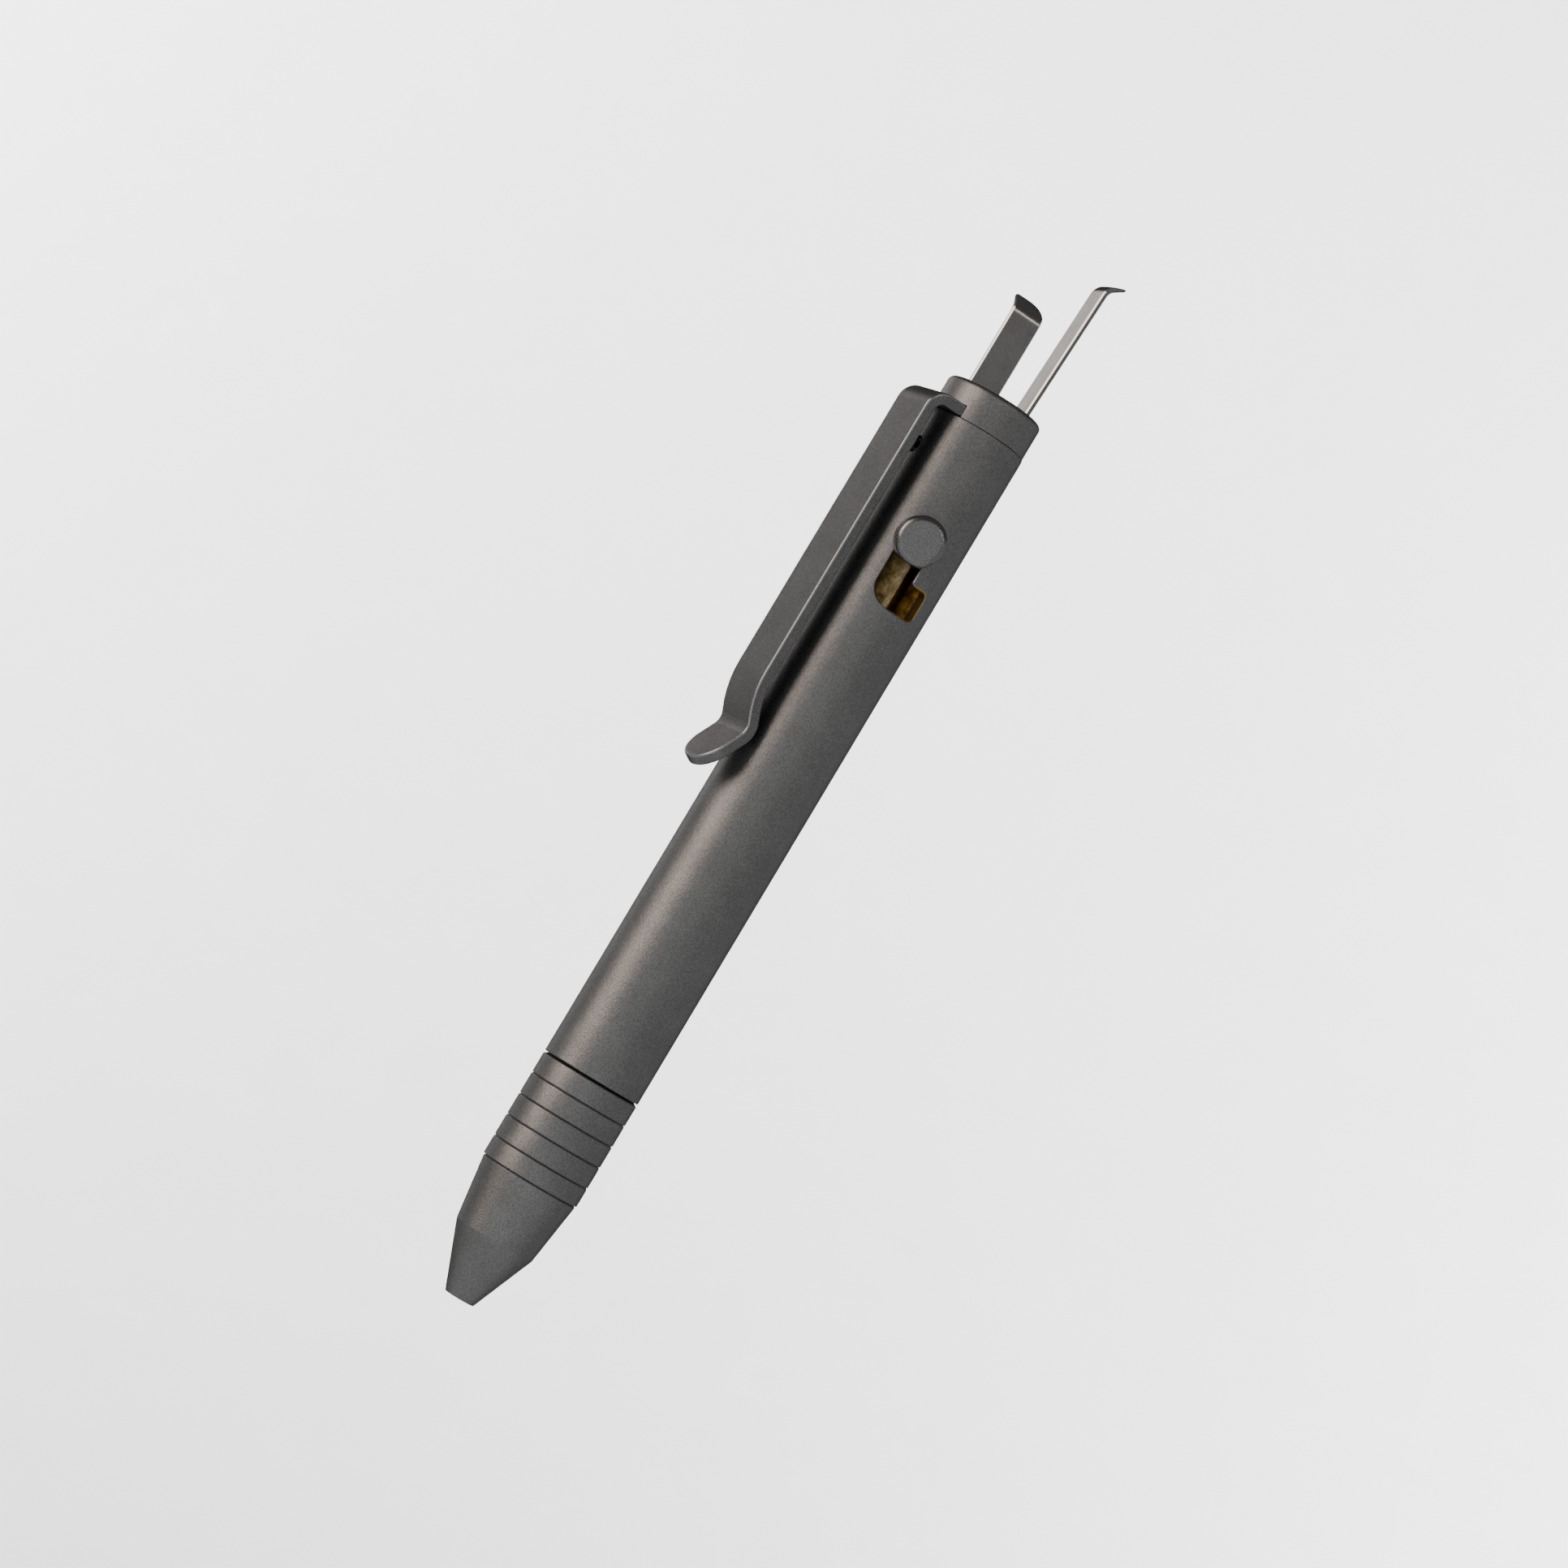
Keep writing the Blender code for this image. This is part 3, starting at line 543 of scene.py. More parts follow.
def rounded_path(corners, radii, closed):
    """Points along the corners, each corner with a round of its own, and the way they head."""
    out = []
    count = len(corners)
    for index, (corner, radius) in enumerate(zip(corners, radii)):
        here = Vector(corner)
        if not radius:
            onward = index + 1 < count or closed
            other = Vector(corners[(index + 1) % count if onward else index - 1])
            out.append((here, (other - here if onward else here - other).normalized()))
            continue
        before = (Vector(corners[index - 1]) - here).normalized()
        after = (Vector(corners[(index + 1) % count]) - here).normalized()
        half = before.angle(after) / 2
        centre = here + (before + after).normalized() * (radius / math.sin(half))
        spoke = here + before * (radius / math.tan(half)) - centre
        last = here + after * (radius / math.tan(half)) - centre
        sweep = math.atan2(spoke.x * last.y - spoke.y * last.x, spoke.dot(last))
        steps = max(2, math.ceil(abs(sweep) / ARC_STEP))
        for step in range(steps + 1):
            turn = Matrix.Rotation(sweep * step / steps, 2)
            out.append((centre + turn @ spoke, turn @ -before))
    return out


def profile(corners, radii):
    return [tuple(point) for point, heading in rounded_path(corners, radii, True)]


def thread_cut(height, angle):
    """How deep the spigot's thread is cut at a place on it, fading out at both ends."""
    if not THREAD_FOOT < height < THREAD_TOP:
        return 0
    phase = (height / THREAD_PITCH - angle / (2 * math.pi)) % 1
    ends = min(height - THREAD_FOOT, THREAD_TOP - height) / THREAD_PITCH
    return THREAD_DEPTH * min(1, ends) * (1 - abs(2 * phase - 1))


def lathe(name, points, steps, closed=True, carved=None):
    """Turns (radius, height) points about Z, carved by a function of height and angle.

    A point on the axis becomes a pole.
    """
    bm = bmesh.new()
    rings = []
    for radius, height in points:
        if radius < 1e-9:
            rings.append([bm.verts.new((0, 0, height))] * steps)
            continue
        ring = []
        for step in range(steps):
            angle = 2 * math.pi * step / steps
            reach = radius - carved(height, angle) if carved else radius
            ring.append(bm.verts.new((reach * math.cos(angle), reach * math.sin(angle), height)))
        rings.append(ring)
    pairs = list(zip(rings, rings[1:]))
    if closed:
        pairs.append((rings[-1], rings[0]))
    for high, low in pairs:
        for step in range(steps):
            after = (step + 1) % steps
            corners = [high[step], high[after], low[after], low[step]]
            unique = list(dict.fromkeys(corners))
            if len(unique) > 2:
                bm.faces.new(unique)
    return finish_mesh(name, bm)


def outward(angle, height):
    """Stands a piece's own +Z straight out from the pen's axis."""
    lift = Matrix.Translation((0, 0, height))
    return lift @ Matrix.Rotation(angle, 4, "Z") @ Matrix.Rotation(math.pi / 2, 4, "Y")


def cut(obj, cutter_mesh, matrix=None, material=None):
    """Cuts a mesh out of a piece for good. The cut's walls may have a material of their own."""
    cutter = bpy.data.objects.new("cutter", cutter_mesh)
    bpy.context.scene.collection.objects.link(cutter)
    if matrix is not None:
        cutter.matrix_world = matrix
    boolean = obj.modifiers.new("cut", "BOOLEAN")
    boolean.operation = "DIFFERENCE"
    boolean.solver = "EXACT"
    boolean.object = cutter
    if material is not None:
        cutter_mesh.materials.append(material)
        boolean.material_mode = "TRANSFER"
    apply_modifiers(obj)
    bpy.data.objects.remove(cutter)


def smooth_again(obj):
    obj.data.shade_smooth()
    obj.data.set_sharp_from_angle(angle=SHARP_CUT)
    even_normals(obj)


def rod(radius, low, high):
    return lathe("cutter", [(0, high), (radius, high), (radius, low), (0, low)], SMALL_STEPS, False)


def box(low, high):
    bm = bmesh.new()
    bmesh.ops.create_cube(bm, size=1)
    size = Vector(high) - Vector(low)
    bmesh.ops.scale(bm, vec=size, verts=bm.verts)
    bmesh.ops.translate(bm, vec=(Vector(high) + Vector(low)) / 2, verts=bm.verts)
    mesh = bpy.data.meshes.new("cutter")
    bm.to_mesh(mesh)
    bm.free()
    return mesh


def loft(name, rings):
    """A closed mesh through rings of as many points."""
    bm = bmesh.new()
    rings = [[bm.verts.new(point) for point in ring] for ring in rings]
    caps = [bm.faces.new(rings[0]), bm.faces.new(rings[-1])]
    count = len(rings[0])
    for lower, upper in zip(rings, rings[1:]):
        for i in range(count):
            j = (i + 1) % count
            bm.faces.new((lower[i], lower[j], upper[j], upper[i]))
    bmesh.ops.triangulate(bm, faces=caps)
    bmesh.ops.recalc_face_normals(bm, faces=bm.faces)
    mesh = bpy.data.meshes.new(name)
    bm.to_mesh(mesh)
    bm.free()
    return mesh


def bent_strip(name, corners, radii, width, thickness, end_rounds, edge, edge_steps, point=None):
    """A flat bar bent along a path in its own XZ plane, with rubbed edges and round far corners.

    Past its last bend, it may be ground down from its inner face to a thinner point.
    """
    stations = rounded_path(corners, radii, False)
    marks = [0.0]
    for (here, _), (there, _) in zip(stations, stations[1:]):
        marks.append(marks[-1] + (there - here).length)
    length = marks[-1]

    def place(distance):
        for index in range(len(marks) - 1):
            if distance <= marks[index + 1] or index == len(marks) - 2:
                share = (distance - marks[index]) / (marks[index + 1] - marks[index])
                middle = stations[index][0].lerp(stations[index + 1][0], share)
                heading = stations[index][1].lerp(stations[index + 1][1], share).normalized()
                return middle, Vector((heading.y, -heading.x))

    rows = set(marks)
    for radius in end_rounds:
        for step in range(END_STEPS + 1):
            rows.add(length - radius + radius * math.sin(math.pi / 2 * step / END_STEPS))
    rows = sorted(rows)
    rows = [row for row, after in zip(rows, rows[1:]) if after - row > LEAST_STEP] + [length]

    ground = marks[-2]
    bm = bmesh.new()
    rubbed = bm.faces.layers.float.new("rubbed")
    rings = []
    for row in rows:
        loss = max(0.0, row - ground) / (length - ground) * (thickness - point) if point else 0.0
        fine_edge = min(edge, (thickness - loss) * 0.4)
        ring = []
        for side, radius in ((1, end_rounds[1]), (-1, end_rounds[0])):
            past = max(0.0, row - (length - radius))
            lean = math.asin(min(1.0, past / radius))
            half = width / 2 - radius + radius * math.cos(lean)
            fan = []
            for face in (1, -1):
                arc = []
                for step in range(edge_steps + 1):
                    tilt = math.pi / 2 * step / edge_steps
                    inset = edge * (1 - math.sin(tilt))
                    rise = face * (thickness / 2 - fine_edge * (1 - math.cos(tilt)))
                    if face == -1:
                        rise += loss
                    middle, normal = place(row - inset * math.sin(lean))
                    flat = middle + normal * rise
                    arc.append((flat.x, side * (half - inset * math.cos(lean)), flat.y))
                fan += arc if face == 1 else arc[::-1]
            ring += fan if side == 1 else fan[::-1]
        rings.append([bm.verts.new(corner) for corner in ring])
    count = len(rings[0])
    for low, high in zip(rings, rings[1:]):
        for i in range(count):
            j = (i + 1) % count
            face = bm.faces.new((low[i], low[j], high[j], high[i]))
            arc, step = divmod(i, edge_steps + 1)
            face[rubbed] = float(arc in (1, 2) and step < edge_steps)
    bm.faces.new(rings[0])
    end = rings[-1]
    for i in range(count // 2 - 1):
        bm.faces.new((end[i], end[i + 1], end[count - 2 - i], end[count - 1 - i]))
    return finish_mesh(name, bm)


# Pieces
def slot_outline(offset):
    """The bolt slot laid flat, grown outward by an offset: distance round the barrel, and height."""
    top = BOLT_REST + STEM_RADIUS + SLOT_END_ROOM
    bottom = BOLT_REST - BOLT_STROKE - STEM_RADIUS - SLOT_END_ROOM
    foot_top = bottom + 2 * SLOT_HALF
    toe = SLOT_HALF + BARREL_RADIUS * BOLT_TURN
    corners = [
        (-SLOT_HALF, top),
        (SLOT_HALF, top),
        (SLOT_HALF, foot_top),
        (toe, foot_top),
        (toe, bottom),
        (-SLOT_HALF, bottom),
    ]
    radii = [
        SLOT_END_ROUND,
        SLOT_END_ROUND,
        SLOT_CROTCH_ROUND,
        SLOT_TOE_ROUND,
        SLOT_TOE_ROUND,
        SLOT_HEEL_ROUND,
    ]
    path = rounded_path(corners, radii, True)
    return [point + Vector((-heading.y, heading.x)) * offset for point, heading in path]


def slot_ring(offset, reach_at):
    """The slot's outline in space: its foot is turned about the pen's axis."""
    ring = []
    for along, height in slot_outline(offset):
        turned_by = max(0, along - SLOT_HALF) / BARREL_RADIUS
        sideways = min(along, SLOT_HALF)
        spin = Matrix.Rotation(BOLT_ANGLE + turned_by, 3, "Z")
        ring.append(spin @ Vector((reach_at(sideways), sideways, height)))
    return ring


def depth_at(radius):
    return lambda sideways: math.sqrt(radius**2 - sideways**2)


def make_barrel():
    corners = [
        (BARREL_RADIUS, 0),
        (BARREL_RADIUS, -BARREL_LENGTH),
        (BORE_RADIUS, -BARREL_LENGTH),
        (BORE_RADIUS, TAIL_BORE_END),
        (TAIL_BORE_RADIUS, TAIL_BORE_END),
        (TAIL_BORE_RADIUS, 0),
    ]
    points = profile(corners, [SEAM_EDGE, EDGE_BREAK, 0, 0, 0, 0])
    barrel = add_object("turned_barrel", lathe("turned_barrel", points, BODY_STEPS), TITANIUM)
    rings = [
        slot_ring(0, lambda sideways: SLOT_FLOOR),
        slot_ring(0, depth_at(BARREL_RADIUS - SLOT_LIP)),
        slot_ring(2 * SLOT_LIP, depth_at(BARREL_RADIUS + SLOT_LIP)),
        slot_ring(2 * SLOT_LIP, lambda sideways: KNOB_FACE),
    ]
    # The slot's walls take a material with a painted reflection of the brass carrier.
    cut(barrel, loft("cutter", rings), material=SLOT_WALL_PAINTED_REFLECTION)
    cut(barrel, rod(SCREW_HOLE_RADIUS, *SCREW_HOLE_SPAN), outward(CLIP_ANGLE, SCREW_HEIGHT))
    smooth_again(barrel)
    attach(barrel, "pen_body")
    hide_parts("barrel")


def groove(height, lower_radius):
    """Corners and rounds down one turned groove."""
    half = GROOVE_WIDTH / 2
    floor = lower_radius - GROOVE_DEPTH
    corners = [
        (BARREL_RADIUS, height + half),
        (floor, height + half - GROOVE_SLANT),
        (lower_radius, height - half),
    ]
    return corners, GROOVE_ROUNDS


def make_grip():
    corners = [(SPIGOT_RADIUS - EDGE_BREAK, SPIGOT_TOP), (SPIGOT_RADIUS, SPIGOT_TOP - EDGE_BREAK)]
    corners += [(SPIGOT_RADIUS, RING_HEIGHT + RING_ROOM), (RING_FLOOR, RING_HEIGHT + RING_ROOM)]
    corners += [(RING_FLOOR, RING_HEIGHT - RING_ROOM), (SPIGOT_RADIUS, RING_HEIGHT - RING_ROOM)]
    rows = round((THREAD_TOP - THREAD_FOOT) / THREAD_PITCH * THREAD_ROWS)
    for row in range(rows + 1):
        corners.append((SPIGOT_RADIUS, THREAD_TOP + (THREAD_FOOT - THREAD_TOP) * row / rows))
    corners += [(SPIGOT_RADIUS, COLLAR_TOP), (COLLAR_RADIUS, COLLAR_TOP)]
    corners.append((COLLAR_FOOT_RADIUS, GRIP_TOP))
    radii = [0] * len(corners)
    corners.append((BARREL_RADIUS, GRIP_TOP))
    radii.append(EDGE_BREAK)
    for number in range(1, GRIP_GROOVES + 1):
        more, rounds = groove(SEAM - number * GROOVE_PITCH, BARREL_RADIUS)
        corners += more
        radii += rounds
    more, rounds = groove(CONE_TOP, BARREL_RADIUS - EDGE_BREAK)
    corners += more
    radii += rounds
    corners += [
        (CONE_BREAK_RADIUS, CONE_BREAK),
        (NOSE_RADIUS, NOSE_END),
        (NOSE_BORE_RADIUS, NOSE_END),
        (NOSE_BORE_RADIUS, NOSE_END + NOSE_BORE_LENGTH),
        (GRIP_BORE_RADIUS, NOSE_END + NOSE_BORE_LENGTH + EDGE_BREAK),
        (GRIP_BORE_RADIUS, SPIGOT_TOP),
    ]
    radii += [CONE_BREAK_ROUND, NOSE_ROUND, NOSE_BORE_ROUND, 0, 0, 0]
    mesh = lathe("turned_grip", profile(corners, radii), BODY_STEPS, carved=thread_cut)
    grip = add_object("turned_grip", mesh, TITANIUM)
    even_normals(grip)
    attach(grip, "grip")
    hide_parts("grip_section")


def place_blade(angle, reach, shift, lean):
    """Where a blade's shank leaves the cap, with its own +Z up the shank and +X outward."""
    out = Matrix.Rotation(angle, 4, "Z") @ Matrix.Translation((reach, shift, CAP_TOP))
    return out @ Matrix.Rotation(lean, 4, "Y")


SHORT_PLACE = place_blade(SHORT_ANGLE, SHORT_REACH, SHORT_SHIFT, SHORT_LEAN)
LONG_PLACE = place_blade(LONG_ANGLE, LONG_REACH, LONG_SHIFT, LONG_LEAN)


def cut_blade_slot(cap, place):
    across = BLADE_THICKNESS / 2 + BLADE_GAP
    along = BLADE_WIDTH / 2 + BLADE_GAP
    low = (-across, -along, -BLADE_DEPTH - BLADE_GAP)
    cut(cap, box(low, (across, along, CAP_TOP)), place)


def make_cap():
    corners = [
        (0, CAP_TOP),
        (CAP_RADIUS, CAP_TOP),
        (CAP_RADIUS, CAP_FACE),
        (CAP_SPIGOT_RADIUS, CAP_FACE),
        (CAP_SPIGOT_RADIUS, CAP_SPIGOT_END),
        (0, CAP_SPIGOT_END),
    ]
    points = profile(corners, [0, CAP_ROUND, SEAM_EDGE, 0, EDGE_BREAK, 0])
    cap = add_object("turned_cap", lathe("turned_cap", points, BODY_STEPS, False), TITANIUM)
    notch = box((NOTCH_END, -NOTCH_HALF, -MM), (2 * CAP_RADIUS, NOTCH_HALF, NOTCH_TOP))
    cut(cap, notch, Matrix.Rotation(CLIP_ANGLE, 4, "Z"))
    cut_blade_slot(cap, SHORT_PLACE)
    cut_blade_slot(cap, LONG_PLACE)
    smooth_again(cap)
    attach(cap, "pen_body")
    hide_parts("tail_cap")


def make_clip():
    corners = [
        (CLIP_TAB_END, CLIP_TAB_HEIGHT),
        (CLIP_LEG, CLIP_TAB_HEIGHT),
        (CLIP_LEG, CLIP_SHOULDER),
        (CLIP_REST_RADIUS, CLIP_REST),
        (CLIP_END_RADIUS, CLIP_END),
    ]
    bends = [0, CLIP_TOP_BEND, CLIP_SHOULDER_BEND, CLIP_REST_BEND, 0]
    rounds = (CLIP_END_ROUND, CLIP_END_ROUND)
    sizes = (CLIP_WIDTH, CLIP_THICKNESS, rounds, CLIP_EDGE, CLIP_EDGE_STEPS)
    mesh = bent_strip("bent_clip", corners, bends, *sizes)
    clip = add_object("bent_clip", mesh, CLIP_TITANIUM, Matrix.Rotation(CLIP_ANGLE, 4, "Z"))
    even_normals(clip)
    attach(clip, "pen_body")
    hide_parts("pocket_clip")


def make_blade(name, node, body, place, rise, tip, tilt, rounds):
    corners = [
        (0, -BLADE_DEPTH),
        (0, rise),
        (tip * math.sin(tilt), rise + tip * math.cos(tilt)),
    ]
    bends = [0, BLADE_BEND, 0]
    sizes = (BLADE_WIDTH, BLADE_THICKNESS, rounds, BLADE_EDGE, BLADE_EDGE_STEPS, BLADE_POINT)
    mesh = bent_strip(name, corners, bends, *sizes)
    blade = add_object(name, mesh, STEEL, place)
    even_normals(blade)
    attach(blade, body)
    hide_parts(node)


def make_knob():
    corners = [
        (0, KNOB_FACE),
        (KNOB_RADIUS, KNOB_FACE),
        (KNOB_RADIUS, KNOB_UNDER),
        (STEM_RADIUS, KNOB_UNDER),
        (STEM_RADIUS, STEM_END),
        (0, STEM_END),
    ]
    points = profile(corners, [0, KNOB_ROUND, EDGE_BREAK, 0, 0, 0])
    mesh = lathe("turned_knob", points, SMALL_STEPS * 2, False)
    knob = add_object("turned_knob", mesh, KNOB_TITANIUM, outward(BOLT_ANGLE, BOLT_REST))
    even_normals(knob)
    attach(knob, "bolt")
    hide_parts("bolt_knob")


def make_carrier():
    corners = [
        (0, CARRIER_TOP),
        (CARRIER_RADIUS - CARRIER_CHAMFER, CARRIER_TOP),
        (CARRIER_RADIUS, CARRIER_TOP - CARRIER_CHAMFER),
        (CARRIER_RADIUS, CARRIER_FOOT + CARRIER_CHAMFER),
        (CARRIER_RADIUS - CARRIER_CHAMFER, CARRIER_FOOT),
        (NECK_RADIUS, CARRIER_FOOT),
        (NECK_RADIUS, NECK_END),
        (REFILL_SOCKET_RADIUS, NECK_END),
        (REFILL_SOCKET_RADIUS, REFILL_SOCKET_END),
        (0, REFILL_SOCKET_END),
    ]
    carrier = add_object("turned_carrier", lathe("turned_carrier", corners, BODY_STEPS, False), CARRIER_BRASS_PAINTED_LIGHT)
    cut(carrier, rod(STEM_HOLE_RADIUS, *STEM_HOLE_SPAN), outward(BOLT_ANGLE, BOLT_REST))
    spin = Matrix.Rotation(BOLT_ANGLE, 3, "Z")
    rings = []
    for height in (CARRIER_FOOT - MM, KEYWAY_TOP):
        rings.append([spin @ Vector((out * MM, side * MM, height)) for side, out in KEYWAY_MM])
    cut(carrier, loft("cutter", rings))
    smooth_again(carrier)
    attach(carrier, "bolt")
    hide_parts("bolt_carrier")


def make_screw():
    """A set screw with a hexagon socket, its own +Z straight out of the barrel."""
    bm = bmesh.new()
    floor = SCREW_FACE - SCREW_SOCKET_DEPTH
    levels = [
        (SCREW_RADIUS, SCREW_FACE - SCREW_LENGTH, False),
        (SCREW_RADIUS, SCREW_FACE - EDGE_ROUND, False),
        (SCREW_RADIUS - EDGE_ROUND, SCREW_FACE, False),
        (SCREW_SOCKET_RADIUS, SCREW_FACE, True),
        (SCREW_SOCKET_RADIUS, floor, True),
    ]
    rings = []
    for radius, height, six_sided in levels:
        ring = []
        for step in range(SCREW_STEPS):
            angle = 2 * math.pi * step / SCREW_STEPS
            reach = radius
            if six_sided:
                reach *= math.cos(math.pi / 6) / math.cos(angle % (math.pi / 3) - math.pi / 6)
            ring.append(bm.verts.new((reach * math.cos(angle), reach * math.sin(angle), height)))
        rings.append(ring)
    for low, high in zip(rings, rings[1:]):
        for i in range(SCREW_STEPS):
            j = (i + 1) % SCREW_STEPS
            bm.faces.new((low[i], low[j], high[j], high[i]))
    bm.faces.new(rings[0])
    bm.faces.new(rings[-1])
    mesh = finish_mesh("socket_screw", bm, SHARP_CUT)
    screw = add_object("socket_screw", mesh, SCREW_STEEL, outward(CLIP_ANGLE, SCREW_HEIGHT))
    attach(screw, "pen_body")
    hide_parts("cap_set_screw")


def make_refill_tip():
    corners = [
        (0, TIP_SPIGOT_TOP),
        (TIP_SPIGOT_RADIUS, TIP_SPIGOT_TOP),
        (TIP_SPIGOT_RADIUS, TIP_SHOULDER),
        (REFILL_RADIUS, TIP_SHOULDER),
        (REFILL_RADIUS, TIP_CONE_TOP),
        (TIP_RIM_RADIUS, TIP_RIM),
        (BALL_RADIUS, TIP_RIM),
        (BALL_RADIUS, TIP_RIM + BALL_RADIUS),
        (0, TIP_RIM + BALL_RADIUS),
    ]
    radii = [0, 0, 0, TIP_SHOULDER_ROUND, TIP_CONE_ROUND, TIP_RIM_ROUND, 0, 0, 0]
    points = profile(corners, radii)
    tip = add_object("turned_tip", lathe("turned_tip", points, SMALL_STEPS, False), NICKEL)
    even_normals(tip)
    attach(tip, "bolt")
    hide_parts("refill_tip")


def make_ball():
    """The writing ball, a little slimmer than its socket."""
    arc = []
    for step in range(BALL_STEPS + 1):
        angle = math.pi * step / BALL_STEPS
        height = BALL_END + BALL_RADIUS + BALL_RADIUS * math.cos(angle)
        arc.append((BALL_RADIUS * BALL_FIT * math.sin(angle) if 0 < step < BALL_STEPS else 0, height))
    ball = add_object("writing_ball", lathe("writing_ball", arc, 2 * BALL_STEPS, False), CARBIDE)
    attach(ball, "bolt")
    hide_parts("refill_ball")


def make_spring():
    """A coil of round wire from the spigot to the carrier's neck, pressed shorter by the bolt."""
    foot = SPIGOT_TOP + SPRING_GAP
    length = NECK_END - SPRING_GAP - foot
    rise = (length - 2 * WIRE_RADIUS) / SPRING_TURNS
    rings = []
    for step in range(SPRING_TURNS * CURL_STEPS + 1):
        turns = step / CURL_STEPS
        angle = 2 * math.pi * turns
        out = facing(angle)
        along = Vector((-out.y, out.x, rise / (2 * math.pi * SPRING_RADIUS))).normalized()
        across = out.cross(along)
        middle = SPRING_RADIUS * out + Vector((0, 0, foot + WIRE_RADIUS + rise * turns))
        ring = []
        for side in range(WIRE_STEPS):
            turn = 2 * math.pi * side / WIRE_STEPS
            ring.append(middle + WIRE_RADIUS * (math.cos(turn) * out + math.sin(turn) * across))
        rings.append(ring)
    mesh = loft("coil_spring", rings)
    mesh.shade_smooth()
    mesh.set_sharp_from_angle(angle=SHARP)
    spring = add_object("coil_spring", mesh, SPRING_STEEL)
    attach(spring, "pen_body")
    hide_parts("return_spring")
    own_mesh(spring)


def dress_hidden_nodes():
    """Pieces inside the pen keep their CAD shape and get a finish."""
    finishes = {
        "grip_o_ring": RUBBER,
        "refill_tube": TUBE_BRASS,
        "refill_plug": PLUG_PLASTIC,
    }
    for name, material in finishes.items():
        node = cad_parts[name]
        node.data.materials.clear()
        node.data.materials.append(material)


make_barrel()
make_grip()
make_cap()
make_clip()
make_blade(
    "short_blade_bar",
    "short_hook_blade",
    "short_blade",
    SHORT_PLACE,
    SHORT_RISE,
    SHORT_TIP,
    SHORT_TILT,
    SHORT_ROUNDS,
)
make_blade(
    "long_blade_bar",
    "long_hook_blade",
    "long_blade",
    LONG_PLACE,
    LONG_RISE,
    LONG_TIP,
    LONG_TILT,
    LONG_ROUNDS,
)
make_knob()
make_carrier()
make_screw()
make_refill_tip()
make_ball()
make_spring()
dress_hidden_nodes()


# Stage, lights and camera
def make_stage():
    """A pale floor that sweeps up into a wall behind the pen."""
    away = -facing(CAMERA_ANGLE)
    across = away.cross(Vector((0, 0, 1)))
    sweep = [(FLOOR_FRONT, FLOOR_HEIGHT), (SWEEP_START, FLOOR_HEIGHT)]
    for step in range(1, SWEEP_STEPS + 1):
        angle = math.pi / 2 * step / SWEEP_STEPS
        reach = SWEEP_START + SWEEP_RADIUS * math.sin(angle)
        sweep.append((reach, FLOOR_HEIGHT + SWEEP_RADIUS * (1 - math.cos(angle))))
    sweep.append((SWEEP_START + SWEEP_RADIUS, WALL_TOP))
    bm = bmesh.new()
    rows = []
    for reach, height in sweep:
        middle = away * reach + Vector((0, 0, height))
        rows.append([bm.verts.new(middle + across * side) for side in (-FLOOR_HALF, FLOOR_HALF)])
    for low, high in zip(rows, rows[1:]):
        bm.faces.new((low[0], low[1], high[1], high[0]))
    material, shader = new_material("pale_paper")
    fibre = noise(material, coordinates(material), 60, 4)
    pale = ramp(material, fibre, [(0.3, grey(0.86)), (0.7, grey(0.89))])
    link(material, pale, shader.inputs["Base Color"])
    shader.inputs["Roughness"].default_value = 0.9
    floor = add_object("floor", finish_mesh("floor", bm), material)
    floor.visible_glossy = False


def add_softbox(name, place, target, width, tall, radiance, colour):
    data = bpy.data.lights.new(name, "AREA")
    data.shape = "RECTANGLE"
    data.size = width
    data.size_y = tall
    data.energy = radiance * math.pi * width * tall
    data.color = colour
    light = bpy.data.objects.new(name, data)
    light.location = place
    light.rotation_euler = (target - place).to_track_quat("-Z", "Y").to_euler()
    bpy.context.scene.collection.objects.link(light)


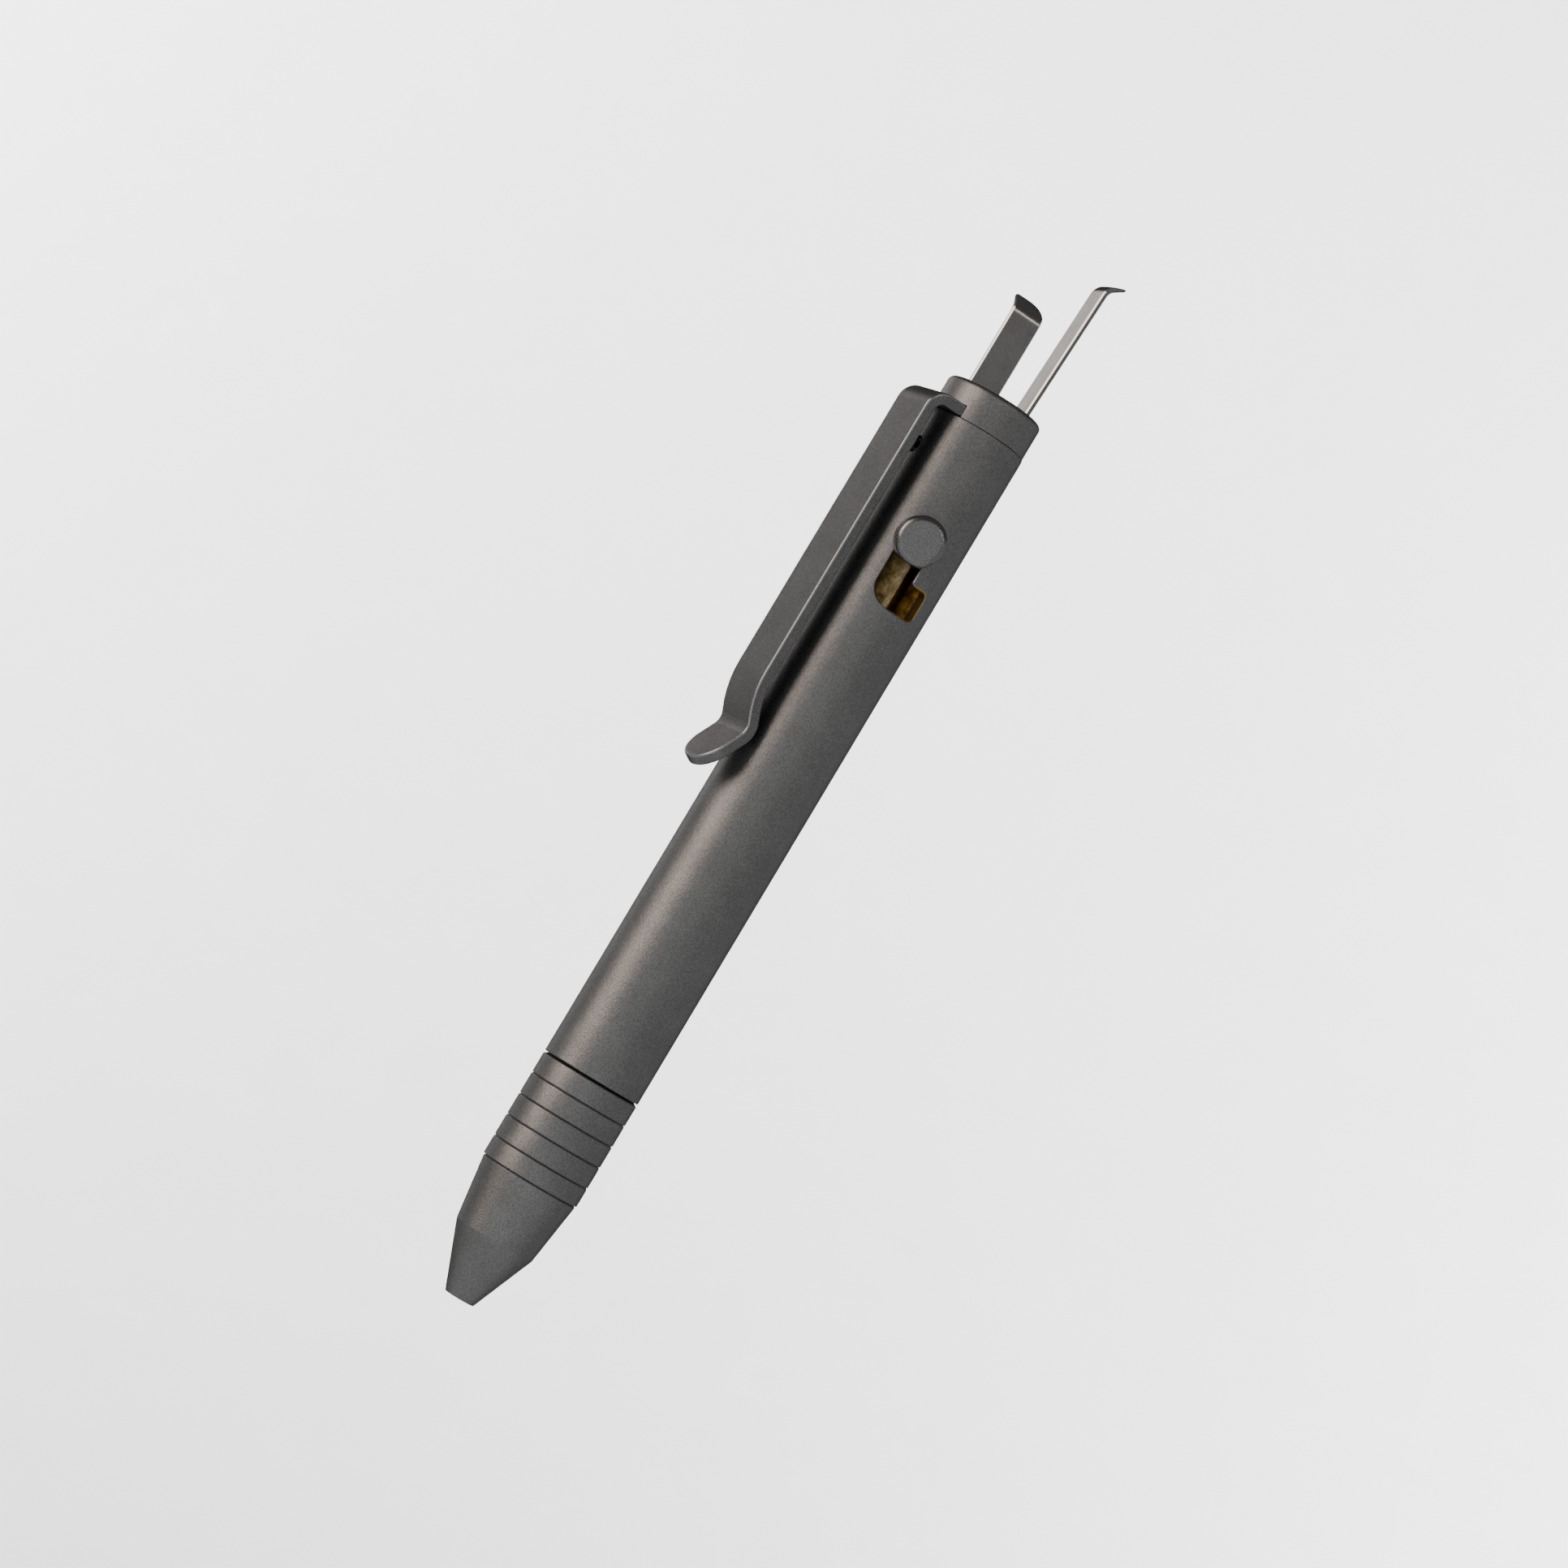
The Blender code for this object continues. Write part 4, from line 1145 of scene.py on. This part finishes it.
def light_pen():
    middle = Vector((0, 0, AIM_HEIGHT))
    for name, side, height, distance, width, tall, radiance, colour in LIGHTS:
        place = facing(CAMERA_ANGLE + math.radians(side)) * distance + Vector((0, 0, height))
        add_softbox(name, place, middle, width, tall, radiance, colour)


def light_wall():
    """Two softboxes beside the view that look away from the pen, at the wall behind it."""
    away = -facing(CAMERA_ANGLE)
    across = away.cross(Vector((0, 0, 1)))
    for name, side in (("wall_left", -1), ("wall_right", 1)):
        place = away * WALL_LIGHT_BACK + across * side * WALL_LIGHT_SIDE
        add_softbox(name, place, place + away, *WALL_LIGHT_SIZE, WALL_RADIANCE, (1, 1, 1))


def make_world():
    world = bpy.data.worlds.new("studio")
    world.use_nodes = True
    background = world.node_tree.nodes["Background"]
    coords = add_node(world, "ShaderNodeTexCoord")
    axes = add_node(world, "ShaderNodeSeparateXYZ")
    link(world, coords.outputs["Generated"], axes.inputs["Vector"])
    fade = spread(world, axes.outputs["Z"], *ZENITH_FADE, WORLD_STRENGTH, ZENITH_STRENGTH)
    link(world, fade, background.inputs["Strength"])
    background.inputs["Color"].default_value = (1, 1, 1, 1)
    bpy.context.scene.world = world


def make_camera():
    data = bpy.data.cameras.new("photo_camera")
    data.lens = LENS
    data.sensor_width = SENSOR
    data.clip_start = NEAREST
    camera = bpy.data.objects.new("photo_camera", data)
    to_right = facing(CAMERA_ANGLE + math.pi / 2)
    place = facing(CAMERA_ANGLE) * CAMERA_DISTANCE + Vector((0, 0, CAMERA_HEIGHT))
    aim = to_right * AIM_RIGHT + Vector((0, 0, AIM_HEIGHT))
    back = (place - aim).normalized()
    level_right = Vector((0, 0, 1)).cross(back).normalized()
    level_up = back.cross(level_right)
    up = level_up * math.cos(CAMERA_ROLL) - level_right * math.sin(CAMERA_ROLL)
    right = up.cross(back)
    turn = Matrix((right, up, back)).transposed().to_4x4()
    camera.matrix_world = Matrix.Translation(place) @ turn
    bpy.context.scene.collection.objects.link(camera)
    bpy.context.scene.camera = camera


make_stage()
make_world()
light_pen()
light_wall()
make_camera()
